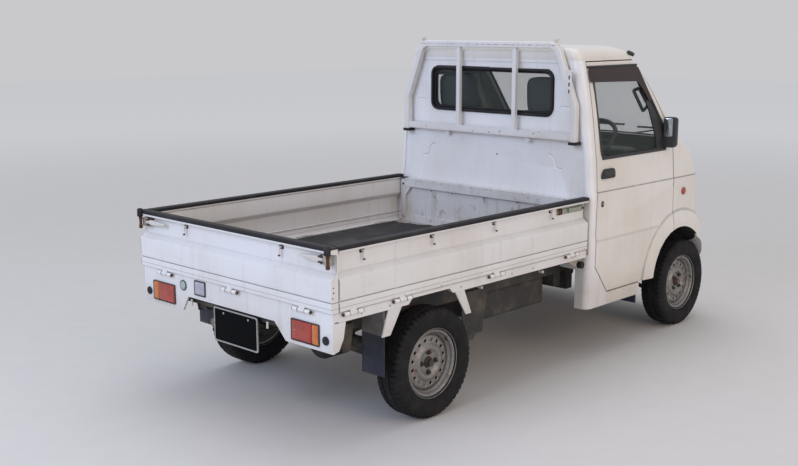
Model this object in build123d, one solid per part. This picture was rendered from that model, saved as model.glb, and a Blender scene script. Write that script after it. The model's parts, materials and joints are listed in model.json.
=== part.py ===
"""A small flat-bed truck: hollow two-door cab, drop-side bed, four wheels.

Frame: millimetres, +Z up, ground at Z = 0. The truck faces -Y, so its left side is +X
and its right side, where the driver sits, is -X. Y = 0 is the middle of its length.
"""
import os
from math import acos, cos, radians, sin, sqrt, tan

from build123d import *

os.makedirs("parts", exist_ok=True)

# Driving sizes: every other place follows from them and from named distances.
LENGTH, WIDTH = 3395.0, 1475.0
TYRE_R = 274.0
ROOF_Z = 1690.0              # the roof panel's lower edge
BED_FLOOR = 650.0

FRONT, REAR = -LENGTH / 2, LENGTH / 2
CAB_HALF = WIDTH / 2         # half width of the cab at its belt
BED_HALF = CAB_HALF - 9.5    # outer faces of the side gates
CAB_REAR = FRONT + 1435.5
FRONT_AXLE_Y, REAR_AXLE_Y = FRONT + 350.5, REAR - 694.5
FRONT_TRACK, REAR_TRACK = WIDTH - 195, WIDTH - 185
RUN_GAP = 6.0                # round doors, gates and everything that swings
PIN_GAP = 0.3                # radial gap at pins and shafts
BEYOND = CAB_HALF + 160      # past the truck's side, for cutting tools

# Wheels
RIM_R, STUB_R = 165.0, 17.0
HOLE_COUNT, HOLE_RING_R, HOLE_R = 16, 112.0, 9.0
NUT_COUNT, NUT_RING_R, NUT_R = 4, 50.0, 11.0
# columns: share of the way from rim to tread, offset from the wheel's middle plane
TYRE_SECTION = [(0, 50), (0.055, 50.5), (0.156, 63), (0.431, 71), (0.651, 72.5),
                (0.853, 67), (0.954, 60), (1, 48)]
# columns: radius, offset outwards
RIM_SECTION = [(RIM_R + 5, 57), (RIM_R + 5, 52.5), (RIM_R, 50), (RIM_R, 38), (151, 28)]
DISC_SECTION = [(148, 12), (130, 20), (96, 20), (82, 30), (36, 30), (36, 35), (85, 35),
                (99, 25), (131, 25), (148, 18)]
HUB_SECTION = [(STUB_R + PIN_GAP, -6), (38, -6), (38, 36), (27, 50), (STUB_R + PIN_GAP, 50)]
BARREL_T = 5.0

# Cab
WALL = 38.0
BELT_Z, CREASE_Z = 965.0, 690.0
BELT_STEP, CREASE_STEP = 4.0, 5.0
FRONT_SWEEP_R = 2500.0       # plan radius of the nose and windscreen
REAR_CORNER_R = 45.0
# columns: height, tuck in from the cab's half width, nose behind the front, corner radius
LOWER_SECTIONS = [(300, 12.5, 97.5, 140), (480, 2.5, 75.5, 150), (CREASE_Z, 0, 72.5, 150),
                  (CREASE_Z + 32, CREASE_STEP, 78, 150), (BELT_Z, 0, 110, 150)]
COWL_Z = 1180.0
COWL_SECTIONS = [(BELT_Z, BELT_STEP, 114, 150), (1110, 12, 178, 150), (COWL_Z, 20, 285, 140)]
UPPER_SECTIONS = [COWL_SECTIONS[-1], (1290, 34.5, 397.5, 125), (1500, 66.5, 592.5, 110),
                  (ROOF_Z, 109.5, 792.5, 95)]
# columns: height above the roof's lower edge, tuck, nose, corner radius, rear step
ROOF_SECTIONS = [(0, 109.5, 792.5, 95, 0), (43, 127.5, 847.5, 95, 0),
                 (67, 172.5, 922.5, 95, 22), (76, 257.5, 1047.5, 95, 80)]
ARCH_R, ARCH_Y, ARCH_Z = TYRE_R + 36, FRONT_AXLE_Y + 107, TYRE_R + 69
WHEEL_SWEEP_R, WHEEL_SWEEP_X = TYRE_R + 31, FRONT_TRACK / 2    # steered tyres stay inside
FLARE_R, FLARE_PROUD, FLARE_FRONT = ARCH_R + 100, 9.0, FRONT + 257
ARCH_INNER_X = FRONT_TRACK / 2 - 255
HOUSING_T = 14.0
FLOOR_Z, FLOOR_T = 545.0, 20.0
SILL_BOTTOM, SILL_TOP = 300.0, 372.0
SILL_FRONT, SILL_REAR = FRONT + 897.5, CAB_REAR - 198
FENDER_END = FRONT + 747.5   # the front panel ends here under the doors
PILLAR_Y = FRONT + 907.5     # front panel and roof meet here
DOOR_REAR, DOOR_FRONT = FRONT + 1380, FRONT + 543
# side outlines; columns: distance behind the front, height
DOOR_OUTLINE = [(1380, 1682), (1380, 540), (1246, 378), (764, 376)]
DOOR_ARCH_BACKS = (698, 638, 578)
DOOR_FRONT_EDGE = [(543, 630), (543, 700), (556, 914), (560, 1155), (570, 1281), (636, 1341),
                   (747, 1503), (830, 1633), (883, 1682)]
SIDE_WINDOW = [(1340, 1645), (1326, 1150), (636, 1150), (636, 1262), (773, 1460), (886, 1645)]
SASH_EDGE = [(928, 1655), (890, 1560), (794, 1379), (750, 1236), (748, 1140)]
VISOR = [(1382, 1654), (1384, 1574), (900, 1562), (800, 1440), (776, 1456), (880, 1654)]
WINDOW_CORNER_R = 38.0
# columns: distance in from the cab's half width, height
WINDSCREEN = [(177.5, 1655), (126, COWL_Z + 8)]
HEADLAMP = [(327.5, 712), (38, 712), (38, 850), (177.5, 862), (297.5, 835)]
HEADLAMP_DEPTH = 217.5
REPEATER_R, REPEATER_YZ = 24.0, (FRONT + 434.5, 873)
REAR_WINDOW = (CAB_HALF - 275.5, 1368.0, 1640.0, 60.0)   # half width, bottom, top, corner
SEAL_WIDTH = 26.0
# the pressed centre of the rear wall; columns: distance in from the half width, height
REAR_RECESS = [(60, 700), (49.5, 964), (68.5, 1217), (109.5, 1416), (134.5, 1608),
               (190, 1672)]
RECESS_DEPTH = 6.0
SWAGE_R, SWAGE_SINK = 9.0, 4.5
GLASS_FROM, GLASS_TO = 3.0, 9.0   # how far behind the outer skin a pane lies
# columns: height, tuck, nose behind the front, corner radius, rear step, plan radius
BUMPER_SECTIONS = [(285, 37.5, 30, 140, 0, 4500), (318, 15.5, 6, 145, 0, 4500),
                   (430, 0, 0, 150, 0, 4000), (560, 0, 0, 150, 0, 2500),
                   (650, 0, 12, 150, 0, 2500), (692, 2.5, 60, 150, 0, 2500)]
BUMPER_DEPTH = 277.5
INTAKE_HALF, INTAKE_BOTTOM, INTAKE_TOP, SLAT = 330.0, 345.0, 435.0, 12.0

# Inside the cab
SEAT_BOX_TOP, SEAT_BOX_HALF = 760.0, CAB_HALF - 97.5
SEAT_BOX_FRONT, SEAT_BOX_REAR = FRONT + 792.5, CAB_REAR - 78
SEAT_INNER_X, SEAT_OUTER_X = 90.0, CAB_HALF - 147.5
ENGINE_HALF, ENGINE_BOTTOM, ENGINE_TOP = 210.0, 330.0, 740.0
ENGINE_FRONT, ENGINE_REAR = CAB_REAR - 618, CAB_REAR - 118
STEER_HUB, STEER_TILT = (397.5 - CAB_HALF, FRONT + 902.5, 1200.0), 38.0
STEER_R, STEER_RIM_R, SHAFT_R = 172.0, 14.0, 8.0
DASH_OUTLINE = [(137.5, 700), (137.5, 1000), (267.5, 1050), (517.5, 1085), (587.5, 1060),
                (607.5, 960), (547.5, 800), (447.5, 700)]
WIPER_SPANS = [(420, -60), (-120, -560)]

# Load bed
BED_FRONT, TAIL_FACE = CAB_REAR + 6, REAR - 9
GATE_BOTTOM, GATE_TOP = BED_FLOOR + 2, BED_FLOOR + 288
GATE_DEPTH, GATE_SHEET = 41.0, 4.0
SIDE_GATE_FRONT = BED_FRONT + 8
SIDE_GATE_REAR = TAIL_FACE - GATE_DEPTH - RUN_GAP
PIN_R, PIN_BORE_R = 7.5, 4.0
PIN_Z, PIN_OUT = GATE_BOTTOM - 11, 1.5
HINGE_HALF, KNUCKLE_HALF = 60.0, 22.0
SIDE_HINGE_Y = [REAR - 137.5, REAR - 452.5, REAR - 1140.5, CAB_REAR + 163]
TAIL_HINGE_X = [BED_HALF - 210, -13, 194 - BED_HALF]
SIDE_HOOK_Y = [REAR - 225.5, REAR - 690.5, REAR - 1157.5, CAB_REAR + 324]
TAIL_HOOK_X = [BED_HALF / 2, -BED_HALF / 2]
# gate section: height above the gate's bottom, depth of the sheet's outer side
GATE_SECTION = [(0, 0), (46, 0), (50, 7), (54, 0), (150, 0), (176, 34), (262, 34), (266, 0),
                (286, 0)]
WEB_DEPTH = 34.0
GUARD_T = 8.0                # rubber guard on the top edge of each gate
GATE_SPACE = BED_HALF - GATE_DEPTH - RUN_GAP    # half width between the side gates
BED_RAIL_X, BED_RAIL_BOTTOM, BED_RAIL_CUT = BED_HALF - 8, 606.0, 632.0
PANEL_Y, PANEL_FACE, PANEL_BOTTOM = TAIL_FACE - 48.5, TAIL_FACE - 12.5, 470.0
PANEL_HALF, PANEL_T = BED_HALF - 6, 12.0
LAMP_PROUD = 4.0
WALL_TOP = 926.0
CROSS_MEMBER_Y = [CAB_REAR + 82, CAB_REAR + 512, REAR_AXLE_Y - 283, REAR_AXLE_Y + 237,
                  REAR - 107.5]
# wheel arch struts seen from the side; columns: distance behind the rear axle, height
ARCH_STRUTS = [[(-209, 612), (-140, 612), (-226, 478), (-268, 478)],
               [(228, 612), (319, 612), (363, 481), (309, 481)]]
# tail lamps: x from, x to, z from, z to
TAIL_LAMPS = [(BED_HALF - 278, BED_HALF - 93, 490, 588), (93 - BED_HALF, 278 - BED_HALF, 490, 588),
              (BED_HALF - 534, BED_HALF - 446, 569, 644)]
REVERSE_LAMP = (BED_HALF - 350, 601, 23)
PLATE_HALF, PLATE_BOTTOM, PLATE_TOP = 165.0, 358.0, 523.0
GUARD_Y, GUARD_TUBE = CAB_REAR + 30, 38.0
GUARD_FOOT_X, GUARD_TOP_X = CAB_HALF - 110.5, CAB_HALF - 237.5
GUARD_FOOT_Z, GUARD_BEND_Z, GUARD_TOP_Z = 1245.0, 1440.0, 1771.0
GUARD_BAR_X, GUARD_TAB_X, GUARD_HOOK_X = 210.0, 305.0, CAB_HALF - 242.5

# Frame and running gear
RAIL_X, RAIL_W = BED_HALF - 213, 60.0
RAIL_BOTTOM, RAIL_TOP = 495.0, 575.0
NARROW_X, NARROW_HALF, NARROW_BOTTOM, NARROW_TOP = 320.0, 25.0, 420.0, 500.0
NARROW_FRONT, NARROW_REAR = FRONT + 172.5, CAB_REAR + 72
SPRING_OUTER_X = RAIL_X + 37
KING_LEAN = 7.0              # degrees that each steering axis leans inward at its top
KING_X, KING_Z = FRONT_TRACK / 2 - 40, TYRE_R - 99
STRUT_TOP_Z = ARCH_Z + ARCH_R + 5
KING_TOP_X = KING_X - (STRUT_TOP_Z - KING_Z) * tan(radians(KING_LEAN))
STRUT_ROD_R, BALL_R = 8.0, 9.0
EXHAUST_X, MUFFLER_Z, PIPE_R, MUFFLER_R = 180.0, 350.0, 22.0, 75.0


def block(x0, x1, y0, y1, z0, z1):
    """A box between two corners."""
    return Pos((x0 + x1) / 2, (y0 + y1) / 2, (z0 + z1) / 2) * Box(
        abs(x1 - x0), abs(y1 - y0), abs(z1 - z0))


def slab(y0, y1, z0, z1):
    """A box right across the truck, for cutting."""
    return block(-BEYOND, BEYOND, y0, y1, z0, z1)


def plate_yz(points, x0, x1, radius=0):
    """A side-view outline of (y, z) points carried across from x0 to x1."""
    face = make_face(Polyline([(0, y, z) for y, z in points], close=True))
    if radius:
        face = fillet(face.vertices(), radius)
    return Pos(min(x0, x1), 0, 0) * extrude(face, amount=abs(x1 - x0), dir=(1, 0, 0))


def plate_xz(points, y0, y1, radius=0):
    """A rear-view outline of (x, z) points carried along from y0 to y1."""
    face = make_face(Polyline([(x, 0, z) for x, z in points], close=True))
    if radius:
        face = fillet(face.vertices(), radius)
    return Pos(0, y0, 0) * extrude(face, amount=y1 - y0, dir=(0, 1, 0))


def bar(start, end, radius):
    """A round bar from one point to another."""
    start, end = Vector(*start), Vector(*end)
    along = end - start
    return Plane(origin=start, z_dir=along) * Cylinder(
        radius, along.length, align=(Align.CENTER, Align.CENTER, Align.MIN))


def drum(radius, x0, x1, y, z):
    """A round piece with its axis across the truck."""
    return bar((x0, y, z), (x1, y, z), radius)


def tube_run(points, radius, bend):
    """A round tube through points with its corners bent to one radius."""
    path = FilletPolyline(*points, radius=bend)
    return sweep((path ^ 0) * Circle(radius), path=path)


def turned(profile, x, y, z):
    """A profile of (radius, offset across the truck) turned about a wheel's axis."""
    face = make_face(Polyline([(offset, radius, 0) for radius, offset in profile], close=True))
    return Pos(x, y, z) * revolve(face, Axis.X)


def as_shape(result):
    """One solid, or a compound of the solids, from whatever an operation gives back."""
    items = result if isinstance(result, (list, tuple)) else [result]
    solids = [solid for item in items for solid in item.solids()]
    return solids[0] if len(solids) == 1 else Compound(solids)


def join(pieces):
    """One shape from a list of pieces that overlap or touch."""
    first, rest = pieces[0], pieces[1:]
    return as_shape(first.fuse(*rest)) if rest else as_shape(first)


def minus(shape, *tools):
    return as_shape(shape.cut(*tools))


def common(shape, tool):
    return as_shape(shape.intersect(tool))


def other_side(shape):
    """The same piece for the opposite side of the truck."""
    return mirror(shape, about=Plane.YZ)


def both_sides(shape):
    return [shape, other_side(shape)]


def cab_side(points):
    """Side outline points, given as distances behind the front, in the truck's frame."""
    return [(FRONT + back, z) for back, z in points]


def cab_plan(z, tuck, nose, corner, rear_step=0.0, front_r=FRONT_SWEEP_R, inset=0.0):
    """The cab's outline in plan at one height: lines and arcs only."""
    half, nose_y = CAB_HALF - tuck - inset, FRONT + nose + inset
    rear = CAB_REAR - rear_step - inset
    corner = max(corner - inset, 20.0)
    back_r = max(REAR_CORNER_R - inset, 8.0)
    sweep_r = front_r - inset
    centre_y = nose_y + sweep_r
    side_y = centre_y - sqrt((sweep_r - corner) ** 2 - (half - corner) ** 2)
    run = Vector(half - corner, side_y - centre_y) / (sweep_r - corner)
    shoulder = Vector(0, centre_y) + run * sweep_r
    half_turn = acos(run.X) / 2
    mid = Vector(half - corner, side_y) + Vector(cos(half_turn), -sin(half_turn)) * corner
    k = back_r * (1 - sqrt(0.5))
    edges = [
        Line((half, rear - back_r, z), (half, side_y, z)),
        ThreePointArc((half, side_y, z), (mid.X, mid.Y, z), (shoulder.X, shoulder.Y, z)),
        ThreePointArc((shoulder.X, shoulder.Y, z), (0, nose_y, z),
                      (-shoulder.X, shoulder.Y, z)),
        ThreePointArc((-shoulder.X, shoulder.Y, z), (-mid.X, mid.Y, z), (-half, side_y, z)),
        Line((-half, side_y, z), (-half, rear - back_r, z)),
        ThreePointArc((-half, rear - back_r, z), (-half + k, rear - k, z),
                      (-half + back_r, rear, z)),
        Line((-half + back_r, rear, z), (half - back_r, rear, z)),
        ThreePointArc((half - back_r, rear, z), (half - k, rear - k, z),
                      (half, rear - back_r, z)),
    ]
    return make_face(Wire(edges))


def cab_body(inset=0.0):
    """The cab's lower, upper and roof bodies; with an inset, their inner space."""
    lower = loft([cab_plan(*section, inset=inset) for section in LOWER_SECTIONS], ruled=True)
    cowl = loft([cab_plan(*section, inset=inset) for section in COWL_SECTIONS], ruled=True)
    upper = join([cowl, loft([cab_plan(*section, inset=inset) for section in UPPER_SECTIONS])])
    roof = loft([cab_plan(ROOF_Z + rise - max(inset, 0), *section, inset=inset)
                 for rise, *section in ROOF_SECTIONS])
    return lower, upper, roof


def arch_cut(grow=0.0, inner=ARCH_INNER_X):
    """The spaces that the front wheels swing in: the round arch and the room ahead of it."""
    arch = drum(ARCH_R + grow, inner, BEYOND, ARCH_Y, ARCH_Z)
    room = drum(WHEEL_SWEEP_R + grow, inner, BEYOND, FRONT_AXLE_Y, TYRE_R)
    return join(both_sides(arch) + both_sides(room))


def arch_flare():
    """The lip round the left wheel arch: a flat cone standing out of the cab's side."""
    profile = [(ARCH_R - 2, -WALL / 2), (FLARE_R, -WALL / 2), (FLARE_R, 0),
               (ARCH_R + 28, FLARE_PROUD), (ARCH_R - 2, FLARE_PROUD)]
    ring = turned(profile, CAB_HALF, ARCH_Y, ARCH_Z)
    return common(ring, slab(FLARE_FRONT, CAB_REAR, DOOR_OUTLINE[-1][1], BELT_Z - 60))


def door_prism(side, shrink=0.0):
    """The door's outline carried through the cab's side."""
    arch = [(FRONT + back, ARCH_Z + sqrt(ARCH_R ** 2 - (FRONT + back - ARCH_Y) ** 2))
            for back in DOOR_ARCH_BACKS]
    points = cab_side(DOOR_OUTLINE) + arch + cab_side(DOOR_FRONT_EDGE)
    face = make_face(Polyline([(0, y, z) for y, z in points], close=True))
    if shrink:
        face = offset(face, -shrink, kind=Kind.INTERSECTION)
    prism = Pos(CAB_HALF - 177.5, 0, 0) * extrude(face, amount=240, dir=(1, 0, 0))
    return prism if side > 0 else other_side(prism)


def side_window_prism():
    return plate_yz(cab_side(SIDE_WINDOW), CAB_HALF - 240, BEYOND, WINDOW_CORNER_R)


def windscreen_prism():
    """The windscreen's outline seen from the front, carried back through the cab."""
    (top_in, top_z), (low_in, low_z) = WINDSCREEN
    top, low = CAB_HALF - top_in, CAB_HALF - low_in
    return plate_xz([(-top, top_z), (top, top_z), (low, low_z), (-low, low_z)], FRONT - 50,
                    PILLAR_Y + 30, 70)


def rear_window_prism(grow=0.0):
    half, bottom, top, radius = REAR_WINDOW
    return plate_xz([(-half - grow, bottom - grow), (half + grow, bottom - grow),
                     (half + grow, top + grow), (-half - grow, top + grow)],
                    CAB_REAR - 90, CAB_REAR + 40, radius + grow)


def headlamp_prisms():
    """Headlamps seen from the front, and the round repeaters behind them."""
    outline = [(CAB_HALF - inward, z) for inward, z in HEADLAMP]
    lamp = plate_xz(outline, FRONT - 50, FRONT + HEADLAMP_DEPTH, 18)
    repeater = drum(REPEATER_R, CAB_HALF - 77.5, BEYOND, *REPEATER_YZ)
    return Compound(both_sides(lamp) + both_sides(repeater))


def pressed_rear_wall(wall):
    """The rear wall's sunk centre, the swages below the window and a drain hole."""
    right = [(CAB_HALF - inward, z) for inward, z in REAR_RECESS]
    outline = right + [(-x, z) for x, z in reversed(right)]
    wall = minus(wall, plate_xz(outline, CAB_REAR - RECESS_DEPTH, CAB_REAR + 10, 14))
    face_y = CAB_REAR - RECESS_DEPTH + SWAGE_SINK
    half = REAR_WINDOW[0]
    swages = [bar((half + 40, face_y, 1430), (CAB_HALF - 160, face_y, 1430), SWAGE_R),
              tube_run([(430, face_y, 1160), (470, face_y, 1140), (485, face_y, 1084),
                        (530, face_y, 1080)], SWAGE_R, 14)]
    tools = [piece for swage in swages for piece in both_sides(swage)]
    tools.append(bar((-58, CAB_REAR - 60, 1131), (-58, CAB_REAR + 5, 1131), 6))
    return minus(wall, *tools)


def make_cab():
    """Panels split where the real ones meet, both doors whole, and the lamps' places."""
    lower, upper, roof = cab_body()
    in_lower, in_upper, in_roof = cab_body(WALL)
    shell = minus(join([lower, upper] + both_sides(arch_flare())), in_lower, in_upper,
                  arch_cut())
    doors = {side: common(shell, door_prism(side, RUN_GAP / 2)) for side in (1, -1)}
    shell = minus(shell, door_prism(1, -RUN_GAP / 2), door_prism(-1, -RUN_GAP / 2))
    lamps = headlamp_prisms()
    PARTS["front_lamps"] = common(shell, lamps)
    shell = minus(shell, lamps)

    behind = CAB_REAR + 50
    rear_zone = slab(DOOR_REAR, behind, SILL_BOTTOM, ROOF_Z).fuse(
        slab(SILL_REAR, behind, SILL_BOTTOM, 600))
    front_zone = slab(FRONT - 50, FENDER_END, SILL_BOTTOM, ROOF_Z).fuse(
        slab(FRONT - 50, PILLAR_Y, 1000, ROOF_Z))
    wall = minus(common(shell, rear_zone), rear_window_prism(),
                 block(97.5 - CAB_HALF, CAB_HALF - 97.5, CAB_REAR - 60, CAB_REAR + 10,
                       SILL_BOTTOM - 10, FLOOR_Z - FLOOR_T))
    PARTS["cab_rear_wall"] = pressed_rear_wall(wall)
    PARTS["cab_front_panel"] = minus(common(shell, front_zone), windscreen_prism())
    hollow = common(in_roof, slab(FRONT, BEYOND, ROOF_Z - 60, ROOF_Z + 100))
    header = common(shell, slab(PILLAR_Y, DOOR_REAR, 1600, ROOF_Z))
    PARTS["cab_roof"] = join([minus(roof, hollow), header])

    glass = minus(cab_body(GLASS_FROM)[1], cab_body(GLASS_TO)[1])
    PARTS["windshield"] = common(glass, windscreen_prism())
    window = side_window_prism()
    PARTS["door_l"] = minus(doors[1], window)
    PARTS["door_r"] = minus(doors[-1], other_side(window))
    PARTS["door_glass_l"] = common(glass, window)
    PARTS["door_glass_r"] = other_side(PARTS["door_glass_l"])
    sills = common(shell, slab(SILL_FRONT, SILL_REAR, SILL_BOTTOM, SILL_TOP))
    make_floor(sills, join([in_lower, in_upper]))


def make_floor(sills, space):
    """Floor with its sills and wheel housings, and the box that the seats stand on."""
    side_in = CAB_HALF - 47.5
    room = join(both_sides(block(side_in, BEYOND, DOOR_FRONT - 10, DOOR_REAR + 3, 200, 900)))
    room_above_sill = common(room, slab(FRONT, REAR, SILL_TOP, 900))
    deck = common(space, slab(FRONT, CAB_REAR - WALL, FLOOR_Z - FLOOR_T, FLOOR_Z))
    riser = block(side_in - 18, side_in, SILL_FRONT, SILL_REAR, 340, FLOOR_Z - 5)
    shelf = block(side_in - 18, side_in + 15, SILL_FRONT, SILL_REAR, 320, SILL_TOP - 5)
    housing = minus(arch_cut(HOUSING_T, ARCH_INNER_X - HOUSING_T), arch_cut())
    housing = common(housing, block(-side_in, side_in, FRONT, SILL_FRONT, NARROW_BOTTOM, 700))
    housing = common(housing, space.cut(room))
    half, wall = SEAT_BOX_HALF, 15
    box = block(-half, half, SEAT_BOX_FRONT, SEAT_BOX_REAR, FLOOR_Z - 5, SEAT_BOX_TOP)
    hollow = block(wall - half, half - wall, SEAT_BOX_FRONT + wall, SEAT_BOX_REAR - wall,
                   FLOOR_Z - 40, SEAT_BOX_TOP - 12)
    floor = join([deck, sills, housing] + both_sides(riser) + both_sides(shelf))
    rods = join(both_sides(king_bar(STRUT_TOP_Z, KING_TOP_X, STRUT_ROD_R + PIN_GAP, -30, 40)))
    PARTS["cab_floor"] = minus(floor, room_above_sill, arch_cut(), hollow, rods)
    PARTS["seat_box"] = minus(box, hollow, PARTS["cab_floor"])


def king_bar(z, x, radius, below, above):
    """A bar along the left steering axis, measured from the point (x, z) on it."""
    lean = radians(KING_LEAN)
    along = Vector(-sin(lean), 0, cos(lean))
    base = Vector(x, FRONT_AXLE_Y, z)
    return bar(base + along * below, base + along * above, radius)


def make_rear_window():
    pane = rear_window_prism(-SEAL_WIDTH)
    PARTS["rear_window"] = common(pane, slab(CAB_REAR - 22, CAB_REAR - 17, 0, 2000))
    ring = minus(rear_window_prism(), pane)
    PARTS["rear_window_seal"] = common(ring, slab(CAB_REAR - WALL, CAB_REAR + 2, 0, 2000))


def make_dashboard():
    lower, upper, _ = cab_body(WALL)
    doorways = both_sides(block(CAB_HALF - 47.5, BEYOND, DOOR_FRONT - 10, DOOR_FRONT + 281,
                                600, 1200))
    solid = plate_yz(cab_side(DASH_OUTLINE), 22.5 - CAB_HALF, CAB_HALF - 22.5)
    dash = minus(join([common(solid, lower), common(solid, upper)]), *doorways)
    hub = Vector(*STEER_HUB)
    along = Vector(0, sin(radians(STEER_TILT)), cos(radians(STEER_TILT)))
    column = bar(hub - along * 330, hub - along * (42 + PIN_GAP), 32)
    shaft = bar(hub - along * 832, hub - along * 20, SHAFT_R)
    PARTS["dashboard"] = minus(join([dash, column, shaft]), PARTS["cab_floor"])


def make_steering_wheel():
    tilt = Plane(origin=STEER_HUB, x_dir=(1, 0, 0),
                 z_dir=(0, sin(radians(STEER_TILT)), cos(radians(STEER_TILT))))
    rim = tilt * Torus(STEER_R, STEER_RIM_R)
    hub = tilt * (Pos(0, 0, -20) * Cylinder(48, 44))
    spokes = [tilt * (Rot(0, 0, turn) * (Pos(STEER_R / 2, 0, -8) * Box(STEER_R, 30, 14)))
              for turn in (0, 90, 180)]
    bore = tilt * (Pos(0, 0, -20) * Cylinder(SHAFT_R + PIN_GAP, 80))
    PARTS["steering_wheel"] = minus(join([rim, hub] + spokes), bore)


def make_seats():
    cushion = fillet(block(SEAT_INNER_X, SEAT_OUTER_X, FRONT + 797.5, CAB_REAR - 158,
                           SEAT_BOX_TOP, SEAT_BOX_TOP + 120).edges().filter_by(Axis.X), 30)
    rise = SEAT_BOX_TOP + 100
    outline = [(-218, rise), (-168, rise), (-73, rise + 40), (-53, rise + 540),
               (-88, rise + 540), (-138, rise + 520)]
    back = plate_yz([(CAB_REAR + y, z) for y, z in outline], SEAT_INNER_X, SEAT_OUTER_X, 14)
    PARTS["seats"] = join(both_sides(cushion) + both_sides(back))


def nose_y(x, z, sections):
    """Where the nose's outer face lies at a place between the two given sections."""
    (z0, _, n0, _), (z1, _, n1, _) = sections
    return FRONT + n0 + (n1 - n0) * (z - z0) / (z1 - z0) + x * x / (2 * FRONT_SWEEP_R)


def make_wipers():
    low, high, pieces = COWL_Z - 20, COWL_Z + 62, []
    for pivot_x, tip_x in WIPER_SPANS:
        pivot = Vector(pivot_x, nose_y(pivot_x, low, COWL_SECTIONS[1:]) - 14, low)
        tip = Vector(tip_x, nose_y(tip_x, high, UPPER_SECTIONS[:2]) - 18, high)
        pieces.append(bar(pivot + Vector(0, 22, -24), pivot, 9))
        pieces.append(bar(pivot, tip, 5))
    PARTS["wipers"] = minus(join(pieces), PARTS["cab_front_panel"], PARTS["windshield"])


def make_bumper():
    """The bumper follows the nose from one wheel arch to the other."""
    skin = loft([cab_plan(*section) for section in BUMPER_SECTIONS], ruled=True)
    behind = slab(FRONT + 90, CAB_REAR, 200, SILL_BOTTOM + 1)
    bumper = common(minus(skin, cab_body()[0], behind),
                    slab(FRONT - 50, FRONT + BUMPER_DEPTH, 200, 700))
    sweep_room = drum(WHEEL_SWEEP_R, 200, WHEEL_SWEEP_X + 1, FRONT_AXLE_Y, TYRE_R)
    intake = plate_xz([(-INTAKE_HALF, INTAKE_BOTTOM), (INTAKE_HALF, INTAKE_BOTTOM),
                       (INTAKE_HALF, INTAKE_TOP), (-INTAKE_HALF, INTAKE_TOP)], FRONT - 1,
                      FRONT + 55, 20)
    third = (INTAKE_TOP - INTAKE_BOTTOM) / 3
    slats = [slab(FRONT + 22, FRONT + 55, z - SLAT / 2, z + SLAT / 2)
             for z in (INTAKE_BOTTOM + third, INTAKE_TOP - third)]
    PARTS["front_bumper"] = minus(bumper, arch_cut(inner=WHEEL_SWEEP_X), minus(intake, *slats),
                                  *both_sides(sweep_room), *both_sides(arch_flare()))


def make_antenna_base():
    """The stub on the roof's right front corner that an aerial screws into."""
    foot = Pos(125.5 - CAB_HALF, FRONT + 897.5, ROOF_Z + 28) * Rot(14, -35, 0) * Box(26, 54, 22)
    foot = fillet(foot.edges(), 7)
    PARTS["antenna_base"] = minus(foot, PARTS["cab_roof"])


def make_bed():
    deck = block(4 - BED_RAIL_X, BED_RAIL_X - 4, BED_FRONT + 6, PANEL_Y, BED_FLOOR - 6,
                 BED_FLOOR)
    low, high, front = BED_RAIL_BOTTOM, BED_FLOOR - 3, BED_FRONT + 6
    rail = plate_yz([(front, low), (REAR_AXLE_Y - 123, low), (REAR_AXLE_Y - 97, BED_RAIL_CUT),
                     (REAR_AXLE_Y + 165, BED_RAIL_CUT), (REAR_AXLE_Y + 191, low),
                     (PANEL_Y, low), (PANEL_Y, high), (front, high)],
                    BED_RAIL_X - 24, BED_RAIL_X)
    struts = [plate_yz([(REAR_AXLE_Y + y, z) for y, z in outline], BED_RAIL_X - 12,
                       BED_RAIL_X - 4) for outline in ARCH_STRUTS]
    bracket = plate_yz([(BED_FRONT + y, z) for y, z in
                        ((183, 611), (29, 611), (16, 560), (51, 545), (136, 590))],
                       BED_HALF - 38, BED_HALF - 28)
    pieces = [deck]
    for piece in [rail, bracket] + struts:
        pieces += both_sides(piece)
    for y in CROSS_MEMBER_Y:
        pieces.append(block(10 - BED_RAIL_X, BED_RAIL_X - 10, y - 22, y + 22, low,
                            BED_FLOOR - 4))
    PARTS["bed_deck"] = join(pieces)
    PARTS["bed_mat"] = block(4 - GATE_SPACE, GATE_SPACE - 4, BED_FRONT + 60, PANEL_Y - 8,
                             BED_FLOOR, BED_FLOOR + 5)


def make_front_wall():
    """The fixed wall at the bed's front: sheet, top rail, foot rail and end posts."""
    half, front = GATE_SPACE, BED_FRONT
    sheet = block(-half, half, front + 6, front + 10, BED_FLOOR, WALL_TOP)
    rail = block(-half, half, front, front + 34, WALL_TOP - 52, WALL_TOP)
    foot = block(-half, half, front, front + 24, BED_FLOOR, BED_FLOOR + 40)
    post = block(half - 34, half, front, front + 34, BED_FLOOR, WALL_TOP)
    wing = block(half - 10, BED_HALF, front - 3, front + 1, BED_FLOOR - 30, GATE_TOP - 6)
    gusset = plate_xz([(half - 34, WALL_TOP - 52), (half - 34, WALL_TOP - 108),
                       (half - 80, WALL_TOP - 52)], front + 10, front + 30)
    PARTS["bed_front_wall"] = join([sheet, rail, foot] + both_sides(post) + both_sides(wing)
                                   + both_sides(gusset))


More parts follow.
